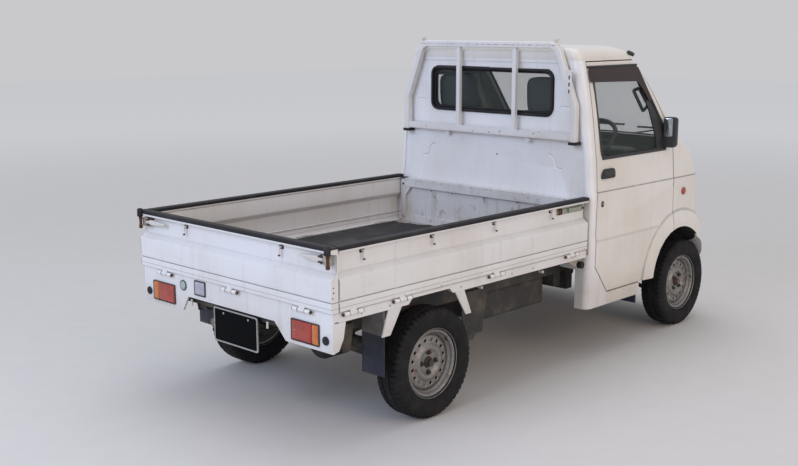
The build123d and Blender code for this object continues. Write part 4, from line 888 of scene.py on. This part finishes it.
def latch(start, end, low, high, lever):
    """A latch: base plate, sliding bar, a lever with a raised finger end and its pivot."""
    middle, reach = (low + high) / 2, (high - low) / 2
    base = pad(start, end, low, high, 5, [(-34.3, 0), (-31, 0), (-30, 1)], "X")
    bar = pad(start + 5, end - 5, middle - reach * 0.55, middle + reach * 0.55, 3,
              [(-31, 0), (-24, 0), (-22.5, 1.5)], "X")
    pivot = lathe([(0.01, -24), (0.01, -9), (5, -9), (6, -11), (6, -15), (11, -16), (11, -19),
                   (8, -20), (8, -24)], 24, 1).moved(y=start + reach + 3, z=middle)
    section = ((-21, -1), (-15, -1), (-14, 0), (-15, 1), (-21, 1))
    widths = ((start + reach - 6, 0.62), (start + 0.45 * lever, 0.5),
              (start + 0.8 * lever, 0.42), (start + lever, 0.75))
    arm = skin([[(x, y, middle + reach * share * up) for x, up in section]
                for y, share in widths])
    ribs = [pad(y - 3, y + 3, low + 2, high - 2, 2, [(-30.5, 0), (-18, 0), (-17, 1)], "X", 1)
            for y in (end - 30, end - 12)]
    return total([base, bar, pivot, arm] + ribs)


def corner_latch():
    """The tailgate's latch: a rubber cap over a rusty spindle at the corner, a bracket, a
    clevis, and a tapered lever that points along the gate."""
    cap = lathe([(0.01, 262), (14, 262), (15.5, 265), (15, 297), (11.5, 303), (0.01, 304)],
                28, 2, "Z").moved(6, 16, 0)
    spindle = lathe([(0.01, 200), (8, 200), (9.5, 203), (9.5, 216), (7.5, 218), (7.5, 246),
                     (9.5, 248), (9.5, 263), (0.01, 263)], 24, 1, "Z").moved(4, 16, 0)
    bracket = pad(20, 64, 212, 257, 6, [(-35, 0), (-7, 0), (-4, 2)], "X")
    clevis = [pad(56, 84, z, z + 8, 3, [(-34.5, 0), (0, 0), (2, 1.5)], "X", 1)
              for z in (221, 245)]
    pin = lathe([(0.01, 216), (5, 216), (5, 258), (0.01, 258)], 16, 1, "Z").moved(-8, 70, 0)
    section = ((-15, -1), (-4, -1), (-1.5, 0), (-4, 1), (-15, 1))
    widths = ((58, 8), (84, 12), (110, 11.5), (160, 9), (207, 6), (213, 4))
    arm = skin([[(x, y, 237 + high * up) for x, up in section] for y, high in widths], 3)
    return total([cap, spindle, bracket, pin, arm] + clevis)


def guard_strip(length):
    """The rubber on a gate's top edge: a flat cap with two lips that grip the sheet."""
    top = GATE_HIGH
    outline = loop_bent([(-43.6, top - 9), (-43.6, top + 4), (-39, top + 8.4), (-2, top + 8.4),
                         (2.6, top + 4), (2.6, top - 9), (0.6, top - 10), (0.4, top + 1),
                         (-41.4, top + 1), (-41.6, top - 10)], 2.0, 3)
    return plate(outline, -1, length + 1)


def to_tail(form):
    """From a gate lying along +Y to the tailgate's place across the truck."""
    return form.turned("Z", 90).moved(BED_HALF, TAIL_FACE, GATE_BOTTOM)


HINGES = [1560.0, 1245.0, 557.0, -99.0]
HOOKS = [1472.0, 1007.0, 540.0, 62.0]
TAIL_HINGES, TAIL_HOOKS = [518.0, -13.0, -534.0], [364.0, -364.0]


def gate(length, hinges, hooks, hook_height):
    """A whole gate lying along +Y, and the rubber on its edge."""
    parts = [gate_knuckle(y) for y in hinges] + [rope_hook(y, hook_height) for y in hooks]
    return total([gate_sheet(length)] + parts), guard_strip(length)


sheet, strip = gate(SIDE_LENGTH, np.array(HINGES) - SIDE_FRONT, np.array(HOOKS) - SIDE_FRONT,
                    243)
GATE_PIECES = (("gate_", "_sheet", sheet, [bed_paint, rust_spot], 0.7, 2),
               ("gate_guard_", "_strip", strip, [black_rubber], 0.6, 1),
               ("gate_latch_", "_lever", latch(16, 256, 221, 259, 150),
                [latch_zinc, rust_spot], 0.8, 2))
for side, facing in SIDES:
    for node, ending, form, *rest in GATE_PIECES:
        form = facing(form.moved(BED_HALF, SIDE_FRONT, GATE_BOTTOM))
        instead(node + side, ending, form, *rest)
sheet, strip = gate(2 * BED_HALF, BED_HALF - np.array(TAIL_HINGES),
                    BED_HALF - np.array(TAIL_HOOKS), 239)
instead("tailgate", "_sheet", to_tail(sheet), [bed_paint, rust_spot], 0.7)
instead("gate_guard_tail", "_strip", to_tail(strip), [black_rubber], 0.6, 1)
lever = corner_latch()
far_lever = lever.mirrored(1.0, -1.0).moved(y=2 * BED_HALF)
instead("tail_latches", "_lever", to_tail(lever + far_lever),
        [galvanised, rust_spot, black_rubber, white_peg], 0.8)


def fixed_knuckles(y, x=BED_HALF + 1.5, z=641.0):
    """The bed's half of a hinge: two barrels, the pin with its heads, and a bracket."""
    parts = [tube([(x, y - 63, z), (x, y + 63, z)], 4.0, 12, 1)]
    for side in (-1, 1):
        near, far = y + side * 23, y + side * 60
        line = [(4.0, near), (8.6, near), (9.4, near + side), (9.4, far - side), (8.6, far),
                (4.0, far)]
        parts.append(lathe(line, 24, 0, "Y").moved(x, 0, z))
        rim = [(8.0, near - 0.4), (9.9, near), (9.9, near + side * 2.5), (8.0, near + side * 3)]
        parts += [lathe(rim, 24, 1, "Y").moved(x, along, z) for along in (0, side * 34)]
        leaf = [(x - 8.5, z - 8), (x + 2, z - 8), (x + 5, z - 5), (x, z + 3), (x - 8.5, z + 4)]
        parts.append(plate(loop_bent(leaf, 1.5, 3), min(near, far), max(near, far)))
        head = [(y + side * 60, 0), (y + side * 63, 0.4), (y + side * 64.5, 2.5)]
        parts.append(pillow(circle(7.4, 14, (x, z)), head, "Y", 1))
    return total(parts)


brackets = total([both(total([fixed_knuckles(y) for y in HINGES]))]
                 + [fixed_knuckles(-x, 0.0, 0.0).turned("Z", 90).moved(0, TAIL_FACE + 1.5, 641)
                    for x in TAIL_HINGES])
instead("hinge_brackets", "_fine", brackets, [hinge_paint, rust_spot], 0.6, 1)
print("gates made")

# %% [markdown]
# Lamps are housings with a dark rim and domed lenses; the number plate is blank. Screws and
# pegs are small turned parts set out by a table.

# %% Lamps, plate and fixings at the rear
PANEL_FACE, LAMP_BACK = 1676.0, 1646.0


def lens_dome(outline, rise, finish):
    """A lens over an outline: rows of height over the panel's face, and distance inwards."""
    return pillow(outline, [(PANEL_FACE + up, inset) for up, inset in rise], "Y", finish)


def screw(x, y, z, radius=4.0, finish=0):
    """A domed screw head that looks backwards."""
    levels = [(y - 4, 0), (y + 0.6, 0), (y + 2.2, radius * 0.3), (y + 2.6, radius * 0.7)]
    return pillow(circle(radius, 14, (x, z)), levels, "Y", finish)


DOME = ((-8, 0), (2, 0), (6, 1.5), (8.5, 5), (9.5, 11))
cluster = total([
    frame_ring(rounded(448.5, 636.5, 488.5, 589.5, 8), 3.6, LAMP_BACK, PANEL_FACE + 7, "Y", 2),
    plate(rounded(450, 635, 490, 588, 8), LAMP_BACK, PANEL_FACE + 1, "Y", 2),
    lens_dome(rounded(452, 587, 492, 586, 7), DOME, 0),
    lens_dome(rounded(589, 633, 492, 586, 7), DOME, 1),
    screw(478, PANEL_FACE + 9, 539, 3.6, 4), screw(610, PANEL_FACE + 9, 539, 3.6, 4)])
single_lamps = total([
    frame_ring(rounded(194, 282, 569, 644, 8), 3.4, LAMP_BACK, PANEL_FACE + 6, "Y", 2),
    plate(rounded(195, 281, 570, 643, 7), LAMP_BACK, PANEL_FACE + 1, "Y", 2),
    lens_dome(rounded(198, 278, 573, 640, 7), DOME, 3),
    frame_ring(circle(26, 36, (378, 601)), 4, PANEL_FACE - 10, PANEL_FACE + 5, "Y", 2),
    lens_dome(circle(23, 36, (378, 601)), ((-10, 0), (3, 0), (7, 3), (9, 9)), 5)])
instead("rear_lamps", "_fine", both(cluster) + single_lamps,
        [red_lens, amber_lens, black_plastic, clear_lens, galvanised, green_lens])
plate_parts = total([
    pad(-164, 164, 359, 522, 10, [(1644.2, 0), (1646.6, 0), (1647.2, 1)]),
    frame_ring(rounded(-169, 169, 354, 527, 12), 8, 1643.6, 1650.5, "Y", 1),
    frame_ring(rounded(-156, 156, 367, 514, 8), 2, 1647.0, 1648.4),
    screw(-95, 1647, 502, 6, 2), screw(95, 1647, 502, 6, 2)])
instead("licence_plate", "_fine", plate_parts, [plate_black, plate_frame, galvanised], 0.8, 1)

HEADS = [(-700, 636), (-320, 636), (-100, 636), (150, 636), (420, 636), (600, 636),
         (-702, 560), (702, 560), (-702, 500), (702, 500), (-420, 560), (420, 512)]
heads = [screw(x, PANEL_FACE, z, 4.4) for x, z in HEADS]
pegs = [tube([(x, 1670, z - 12), (x, 1670, z + 20)], [5.5, 5.5], 14, 1)
        for x, z in ((320, 518), (-269, 513))]
make("rear_panel_fixings", total(heads + pegs), [hinge_paint, white_peg], "rear_panel", 0.6, 1)
side_pegs = both(total([tube([(690, y, z), (716, y, z)], 8, 14, 1)
                        for y, z in ((146, 588), (654, 592))]
                       + [tube([(715, y, 625), (722.6, y, 625)], 5)
                          for y in (-120, 240, 420, 820, 1320, 1500)]))
make("bed_side_fixings", side_pegs, [galvanised, white_peg], "bed_deck", 0.6, 1)
print("rear details made")

# %% [markdown]
# The cab's upper side leans in as it rises. Its half width over the height is a cubic
# through the drawing's four sections, so trim can be drawn in side view and laid on it.

# %% Trim, rubbers and glazing of the cab
TUCK = np.polyfit([1180, 1290, 1500, 1690], [20, 34.5, 66.5, 109.5], 3)
NOSE = np.polyfit([1180, 1290, 1500, 1690], [285, 397.5, 592.5, 792.5], 3)
SWEEP_R = 2500    # of the windscreen in plan


def side_x(z):
    """Half width of the cab's skin at a height: straight below the cowl, cubic above."""
    z = np.asarray(z, float)
    low = np.interp(z, [965, 1110, 1180], [4, 12, 20])
    return CAB_HALF - np.where(z < 1180, low, np.polyval(TUCK, z))


def over_skin(line, lift):
    """Side-view places (y, z) as space points at a distance from the cab's left skin."""
    y, z = np.transpose(line)
    return np.stack([side_x(z) + lift, y, z], 1)


def divided(outline, pitch, least):
    """A closed outline with points added along its sides, at least so many on each."""
    outline = np.asarray(outline, float)
    parts = []
    for a, b in zip(outline, np.roll(outline, -1, 0)):
        count = max(least, int(np.hypot(*(b - a)) / pitch))
        parts.append(a + (b - a) * np.linspace(0, 1, count, endpoint=False)[:, None])
    return np.vstack(parts)


def laid(outline, inner, outer, finish=0, pitch=14.0):
    """A sheet drawn in side view as (y, z), laid on the left side of the cab between two
    distances from the skin, with free points so that it follows the lean."""
    dense = divided(outline, pitch, 2)
    low, high = dense.min(0) + pitch, dense.max(0)
    grid = np.stack(np.meshgrid(np.arange(low[0], high[0], pitch),
                                np.arange(low[1], high[1], pitch)), -1).reshape(-1, 2)
    clear = np.linalg.norm(grid[:, None] - dense[None], axis=2).min(1) > pitch * 0.6
    grid = grid[inside(grid, dense) & clear]
    flat, faces = flat_mesh(dense, [], grid)
    return thick(flat, faces, over_skin(flat, outer), over_skin(flat, inner), finish)


def behind_front(points):
    """Side-view places whose first number is measured back from the truck's front."""
    return np.asarray(points, float) + (FRONT, 0)


def rail(back_from, back_to, count, z, lift):
    """A level line along the cab's side."""
    line = [(back, z) for back in np.linspace(back_from, back_to, count)]
    return over_skin(behind_front(line), lift)


window = loop_bent(behind_front([(1340, 1645), (1326, 1150), (636, 1150), (636, 1262),
                                 (773, 1460), (886, 1645)]), 40, 6)
window_rubber = tube(over_skin(window, 0.5), 8.5, 12, 0, True)
sash = laid(behind_front([(928, 1652), (890, 1560), (794, 1379), (750, 1236), (744, 1146),
                          (640, 1146), (634, 1262), (771, 1462), (882, 1650)]), -6, 1.6)
visor_line = behind_front([(1378, 1646), (1383, 1571), (905, 1560), (846, 1500), (800, 1440),
                           (776, 1452), (878, 1646)])
visor = laid(loop_bent(visor_line, 20, 5), 9, 12.2, 1)
visor_edge = bent([(1376, 1574), (908, 1563), (850, 1502), (806, 1442)], 24, 6)
visor_lip = tube(over_skin(behind_front(visor_edge), 12), 2.6, 8, 1)
brow = tube(rail(884, 1380, 12, 1653, 6), 7.0, 10)
waist = tube(rail(650, 1322, 14, 1147, 1.5), 6.5, 10, up=(1, 0, 0.02))
mirror_shell = pad(716, 786, 1160, 1342, 18,
                   [(-1036.5, 3), (-1037.5, 0.6), (-1040, 0), (-1062, 0.8), (-1078, 5),
                    (-1087, 12), (-1091, 22)])
mirror_glass = pad(722, 769, 1226, 1334, 10, [(-1040, 0), (-1035.6, 0), (-1035.0, 1.5)], "Y", 2)
mirror_shell, mirror_glass = (
    form.changed(form.points - (form.points[:, :1] - 751) * (0, 0.3, 0))    # turned outwards
    for form in (mirror_shell, mirror_glass))
ARM_SECTION = ((-14, -16), (14, -16), (16, 0), (14, 16), (-14, 16), (-16, 0))
mirror_arm = skin([[(x, -1060 + y, z + r) for y, r in ARM_SECTION]
                   for x, z in ((700, 1208), (716, 1212), (730, 1222))])
handle_line = loop_bent([(-486, 1036), (-356, 1036), (-360, 1066), (-382, 1090), (-472, 1090),
                         (-484, 1074)], 12, 5)
handle = total([
    pillow(handle_line, [(722, 0), (737, 0), (739, 1.5)], "X"),
    frame_ring(handle_line, 7, 738, 741, "X"),
    pad(-474, -370, 1050, 1082, 13, [(736, 0), (742, 0), (744.5, 3), (745.5, 8)], "X"),
    pad(-383, -359, 878, 912, 11, [(728, 0), (738.4, 0), (739.4, 1.5)], "X"),
    pillow(circle(7.5, 20, (-371, 897)), [(738, 0), (740.6, 0), (741.4, 1.2)], "X", 3),
    pad(-372.5, -369.5, 892, 902, 1, [(740, 0), (741.8, 0)], "X")])
fittings = total([sash, visor, visor_lip, brow, window_rubber, waist, mirror_shell,
                  mirror_glass, mirror_arm, handle])
for side, facing in SIDES:
    instead("door_fittings_" + side, "_fine", facing(fittings),
            [black_plastic, smoked_visor, mirror_silver, galvanised])

REAR_HALF, REAR_LOW, REAR_HIGH = 462.0, 1368.0, 1640.0
SEAL_LINES = ((11, 8, CAB_REAR + 1.5), (24, 5, CAB_REAR - 14))    # inset, radius, y


def rear_opening(inset):
    """The rear window's outline, brought in by a distance."""
    return rounded(-REAR_HALF + inset, REAR_HALF - inset, REAR_LOW + inset, REAR_HIGH - inset,
                   60 - inset, 10)


seal = [tube(np.insert(rear_opening(inset), 1, y, axis=1), radius, 12, 0, True,
             up=(0.0, 1.0, 0.0)) for inset, radius, y in SEAL_LINES]
seal.append(frame_ring(rear_opening(4), 24, CAB_REAR - 36, CAB_REAR - 12))
instead("rear_window_seal", "_fine", total(seal), [black_rubber])


def screen_point(x, z, lift):
    """A place over the windscreen: the nose's cubic, and an arc in plan."""
    sweep = SWEEP_R - np.sqrt(SWEEP_R ** 2 - x ** 2)
    return np.stack([x, FRONT + np.polyval(NOSE, z) + sweep - lift, z], -1)


screen = loop_bent([(-560, 1655), (560, 1655), (611.5, 1188), (-611.5, 1188)], 60, 8)
screen_seal = tube(screen_point(*divided(screen, 40, 1).T, 0.5), 9, 10, 0, True, (0, 1, 0.3))
make("windscreen_seal", screen_seal, [black_rubber], "cab_front_panel")
wiper_parts = []
for pivot_x, tip_x in ((420, -60), (-120, -560)):
    at = np.linspace(0, 1, 9)
    x, z = pivot_x + (tip_x - pivot_x) * at, 1160 + 82 * at
    arm = screen_point(x, z, 14)
    across = np.linspace(max(tip_x - 190, -565), tip_x + 210, 15)
    blade = screen_point(across, 1242 + (across - tip_x) * -0.02, 5)
    wiper_parts += [tube(path, radius, sides, up=(0, 0.2, 1)) for path, radius, sides in
                    ((arm, np.linspace(7, 4, 9), 10), (blade, 4.0, 8),
                     (blade + (0, -8, 5), 3.2, 8))]
    wiper_parts.append(lathe([(0.01, -30), (13, -30), (13, 2), (9, 8), (0.01, 8)], 20, 0, "Z")
                       .turned("X", 35).moved(*arm[0]))
instead("wipers", "_fine", total(wiper_parts), [black_plastic])
make("repeaters", both(pillow(circle(24, 32, (-1263, 873)),
                              [(728, 0), (738, 0), (742, 2), (745, 7), (746, 14)], "X")),
     [repeater_lens], "front_lamps")
print("cab trim made")

# %% [markdown]
# Seats are stuffed: each cushion is a box of points pushed outwards more in its middle than
# at its seams, with two sewn lines pulled in.

# %% Inside the cab
POWER = 5.0    # of the surface that a cushion's cube is drawn to: 2 would be a ball


def cushion(x0, x1, y0, y1, z0, z1, swell, lean=0.0, seams=2, steps=26):
    """A stuffed block. Every face point of a unit cube is drawn towards a sphere-like
    power surface, scaled to the block, swollen by a cosine and pulled in at the seams."""
    t = np.linspace(-1, 1, steps)
    a, b = (v.ravel() for v in np.meshgrid(t, t))
    one = np.ones_like(a)
    cube = np.vstack([np.stack(v, 1) for v in
                      ((a, b, one), (a, b, -one), (a, one, b), (a, -one, b), (one, a, b),
                       (-one, a, b))])
    unit = cube / (np.abs(cube) ** POWER).sum(1, keepdims=True) ** (1 / POWER)
    size = np.array([x1 - x0, y1 - y0, z1 - z0]) / 2
    puff = np.cos(unit[:, 0] * 1.45) * np.cos(unit[:, 1] * 1.3) * np.cos(unit[:, 2] * 1.3)
    groove = sum(np.exp(-((unit[:, 0] - place) / 0.035) ** 2)
                 for place in np.linspace(-0.5, 0.5, seams)) if seams else 0.0
    points = unit * size + unit * (puff * swell - groove * 5.0)[:, None]
    points[:, 1] += lean * (points[:, 2] / size[2] + 1) / 2
    points += [(x0 + x1) / 2, (y0 + y1) / 2, (z0 + z1) / 2]
    faces = np.vstack([quads(steps, steps, wrap_columns=False) + i * steps * steps
                       for i in range(6)])
    return Form(points, faces)


low, top = (corner[2] * 1000 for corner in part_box("seats"))
cushions = total([cushion(92, 588, -898, -430, low + 2, low + 118, 14),
                  cushion(94, 586, -486, -372, low + 92, top - 6, 12, 44),
                  cushion(205, 470, -425, -345, top - 30, top + 185, 10, 12, 0)])
for side, facing in SIDES:
    seat = make("seat_cushion_" + side, facing(cushions), [seat_cloth], "seats", replace=True)

turn = np.linspace(0, 2 * np.pi, 72, endpoint=False)
rim = tube(172 * np.stack([np.cos(turn), np.sin(turn), 0 * turn], 1), 13.5, 14, 0, True,
           up=(0, 0, 1))
spoke = tube([(30, 0, -14), (90, 0, -12), (165, 0, -2)], [17, 13, 11], up=(0, 0.1, 1))
spokes = [spoke.turned("Z", degrees) for degrees in (0, 90, 180)]
boss = lathe([(0.01, -40), (44, -40), (50, -30), (50, -8), (40, 2), (0.01, 4)], 36, 0, "Z")
instead("steering_wheel", "_fine",
        total([rim, boss] + spokes).turned("X", -38).moved(-340, -795, 1200), [black_plastic])
hood = cushion(-470, -210, -1180, -1020, 1040, 1130, 8, seams=0, steps=16)
vents = [pad(x, x + 110, 985, 1035, 8, [(-1108, 0), (-1086, 0), (-1084, 3)], "Y")
         for x in (-640, 40, 480)]
make("dashboard_hood", total([hood] + vents), [dash_plastic], "dashboard")
ring = loop_bent([(-590, y, z) for y, z in ((-882, 1500), (-945, 1510), (-1052, 1404),
                                            (-998, 1370))], 14, 5)
grip = tube(ring, 10, 12, 0, True, up=(1, 0, 0.05))
grip += total([tube([(-590, y, z), (-606, y - 62, z + 12)], 7, 10)
               for y, z in ((-962, 1494), (-1036, 1420))])
make("grip_handle", grip, [black_plastic], "cab_front_panel")
print("inside of the cab made")

# %% [markdown]
# The bed's mat has a torn front edge and lies in low waves. The guard frame gets dark
# specks, a slotted bracket, rubber pads and its two horns.

# %% Mat, guard frame and front wall details
def torn_mat(half=675.0, front=-196.0, rear=1630.0, z=650.6, columns=180, rows=110):
    """A grid with a little thickness. Its front edge moves by four sines, each shorter and
    lower than the last; its height is two slow waves a millimetre high."""
    x = np.linspace(-half, half, columns)
    torn = (26 + 20 * np.sin(x * 0.011 + 1.0) + 9 * np.sin(x * 0.043) + 5 * np.sin(x * 0.13 + 2)
            + 3 * np.sin(x * 0.41))
    t = np.linspace(0, 1, rows)[:, None]
    y = front + torn * (1 - t) ** 6 + (rear - front) * t
    wave = 0.9 * np.sin(x * 0.02 + y * 0.004) + 0.7 * np.sin(y * 0.016)
    top, low = placed("X", x, y, z + 4.0 + wave), placed("X", x, y, z)
    count = rows * columns
    grid = quads(rows, columns, wrap_columns=False)
    border = np.concatenate([np.arange(columns - 1), np.arange(1, rows) * columns - 1,
                             np.arange(count - 1, count - columns, -1),
                             np.arange(rows - 1, 0, -1) * columns])
    nxt = np.roll(border, -1)
    strip = np.stack([border, nxt, nxt + count, border + count], 1)
    return Form(np.vstack([top.reshape(-1, 3), low.reshape(-1, 3)]),
                np.vstack([grid, grid[:, ::-1] + count, strip]))


instead("bed_mat", "_torn", torn_mat(), [bed_mat_rubber])
GUARD_Y = -232.0
SPECKS = ((460, 1268, 3.4), (91, 1262, 3.6), (-36, 1263, 3.8), (-114, 1272, 4.2),
          (-250, 1286, 2.4), (-359, 1275, 3.8), (-395, 1284, 2.2))
SPECK = [(GUARD_Y + 13, 0), (GUARD_Y + 14.4, 0), (GUARD_Y + 14.8, 1)]
specks = [pillow(circle(r, 12, (x, z)), SPECK) for x, z, r in SPECKS]
slotted = [plate(rounded(-614, -586, 1500, 1640, 8), GUARD_Y + 17, GUARD_Y + 22, "Y", 1)]
slotted += [plate(rounded(-604, -596, z, z + 22, 4), GUARD_Y + 21.6, GUARD_Y + 22.4)
            for z in (1512, 1550, 1588)]
pads = [pad(x - 26, x + 26, GUARD_Y - 34, GUARD_Y + 22, 6,
            [(1229, 1), (1231, 0), (1244, 0), (1246, 2)], "Z", 2) for x in (-627, 627)]
HORN = [(0.01, 1772), (11, 1772), (9, 1786), (9, 1792), (13.5, 1796), (15, 1803), (12, 1809),
        (0.01, 1812)]
horns = [lathe(HORN, 24, 3, "Z").moved(x, GUARD_Y) for x in (-495, 495)]
make("guard_frame_details", total(specks + slotted + pads + horns),
     [hole_shade, guard_paint, black_rubber, white_peg], "guard_frame")
caps = [pad(x - 18, x + 18, -258, -220, 5, [(921, 0), (928, 0), (931, 2)], "Z")
        for x in (-664, 664)]
DOTS = [(-660, 889, 7), (660, 889, 7)] + [(x, 866, 4) for x in (-420, 0, 420, -250, 250)]
wall_dots = [tube([(x, -222, z), (x, -219.5, z)], r, 14) for x, z, r in DOTS]
make("front_wall_caps", total(caps + wall_dots), [black_plastic], "bed_front_wall")
print("bed details made")

# %% [markdown]
# The panes keep the CAD's meshes and take the glass; nothing is added to them.

# %% Panes
for pane in ("windshield", "rear_window", "door_glass_l", "door_glass_r"):
    NODES[pane].data.materials.clear()
    NODES[pane].data.materials.append(window_glass)

# %% [markdown]
# The camera stands where the photograph's did: behind the truck's right rear corner, at
# a standing person's height, looking a little down. Its numbers were solved from the
# wheels' and the bed's known sizes.

# %% Camera, floor and lamps
EYE, YAW, PITCH, ROLL = (-4.11275, 4.79915, 1.89054), -0.8066, -0.1887, -0.0008
FOCAL_PIXELS, PHOTO_PIXELS, SENSOR_MM = 1098.0, 798.0, 36.0
# The floor's far colour is painted light: paler where the lamps' light falls off.
FLOOR_HALF, FLOOR_FAR_LIT = 30, (0.93, 0.92, 0.91)
FLOOR_NEAR = (0.60, 0.585, 0.57), (0.64, 0.625, 0.61)
BACKDROP, SKYLIGHT, SKY_STRENGTH = (0.585, 0.585, 0.60, 1), (0.92, 0.945, 1.0, 1), 0.66
LAMPS = (    # name, place, target, size, watts, colour
    ("rear_key", (0.5, 8.5, 4.5), (0, 1.2, 0.6), 5.0, 320, (0.64, 0.73, 1.0)),
    ("side_fill", (-9.0, 1.0, 4.0), (-0.6, 0, 0.7), 6.0, 210, (1.0, 0.74, 0.55)),
    ("top", (1.0, -1.0, 8.0), (0, 0, 0.6), 7.0, 160, (0.92, 0.95, 1.0)))


def place_camera():
    look = Vector((math.cos(PITCH) * math.cos(YAW), math.cos(PITCH) * math.sin(YAW),
                   math.sin(PITCH)))
    data = bpy.data.cameras.new("camera")
    data.sensor_width, data.lens = SENSOR_MM, FOCAL_PIXELS / PHOTO_PIXELS * SENSOR_MM
    data.clip_end = 200
    camera = bpy.data.objects.new("camera", data)
    turn = look.to_track_quat("-Z", "Y").to_matrix().to_4x4()
    camera.matrix_world = (Matrix.Translation(Vector(EYE)) @ turn
                           @ Matrix.Rotation(ROLL, 4, "Z"))
    bpy.context.collection.objects.link(camera)
    bpy.context.scene.camera = camera


def area_lamp(name, at, target, size, watts, colour):
    data = bpy.data.lights.new(name, "AREA")
    data.shape, data.size, data.energy, data.color = "DISK", size, watts, colour
    lamp = bpy.data.objects.new(name, data)
    lamp.location = at
    lamp.rotation_euler = (Vector(target) - Vector(at)).to_track_quat("-Z", "Y").to_euler()
    bpy.context.collection.objects.link(lamp)


def lay_floor():
    """A plain pale floor, painted paler far from the truck: painted light where the lamps'
    light falls off.
    """
    mesh = bpy.data.meshes.new("floor")
    corners = [(-1, -1, 0), (1, -1, 0), (1, 1, 0), (-1, 1, 0)]
    mesh.from_pydata([tuple(c * FLOOR_HALF for c in corner) for corner in corners], [],
                     [(0, 1, 2, 3)])
    floor = bpy.data.objects.new("floor", mesh)
    bpy.context.collection.objects.link(floor)
    f = Finish("floor_grey")
    far = ((f.x * f.x + f.y * f.y) ** 0.5).ramp(3.0, 16.0)
    tone = f.mix(far, f.mix(f.noise(7, 4), *FLOOR_NEAR), FLOOR_FAR_LIT)
    mesh.materials.append(f.shade(tone, 0.95, Specular_IOR_Level=0.0))


def light_world():
    """A pale world: one grey for what the camera sees, another for the light it gives."""
    world = bpy.data.worlds.new("studio")
    world.use_nodes = True
    tree = world.node_tree
    tree.nodes.clear()
    path = tree.nodes.new("ShaderNodeLightPath")
    seen = tree.nodes.new("ShaderNodeMath")
    seen.operation = "MAXIMUM"
    tree.links.new(path.outputs["Is Camera Ray"], seen.inputs[0])
    tree.links.new(path.outputs["Is Transmission Ray"], seen.inputs[1])
    plain, light = (tree.nodes.new("ShaderNodeBackground") for _ in range(2))
    plain.inputs["Color"].default_value = BACKDROP
    light.inputs["Color"].default_value = SKYLIGHT
    light.inputs["Strength"].default_value = SKY_STRENGTH
    mix = tree.nodes.new("ShaderNodeMixShader")
    tree.links.new(seen.outputs[0], mix.inputs[0])
    tree.links.new(light.outputs[0], mix.inputs[1])
    tree.links.new(plain.outputs[0], mix.inputs[2])
    out = tree.nodes.new("ShaderNodeOutputWorld")
    tree.links.new(mix.outputs[0], out.inputs[0])
    bpy.context.scene.world = world


place_camera()
lay_floor()
light_world()
for lamp in LAMPS:
    area_lamp(*lamp)
bpy.context.scene.view_settings.view_transform = "Standard"

# %% [markdown]
# A box's corners are turned into plain lists of numbers.

# %% Sizes and finish
def plain(box):
    return [[float(c) for c in corner] for corner in box]
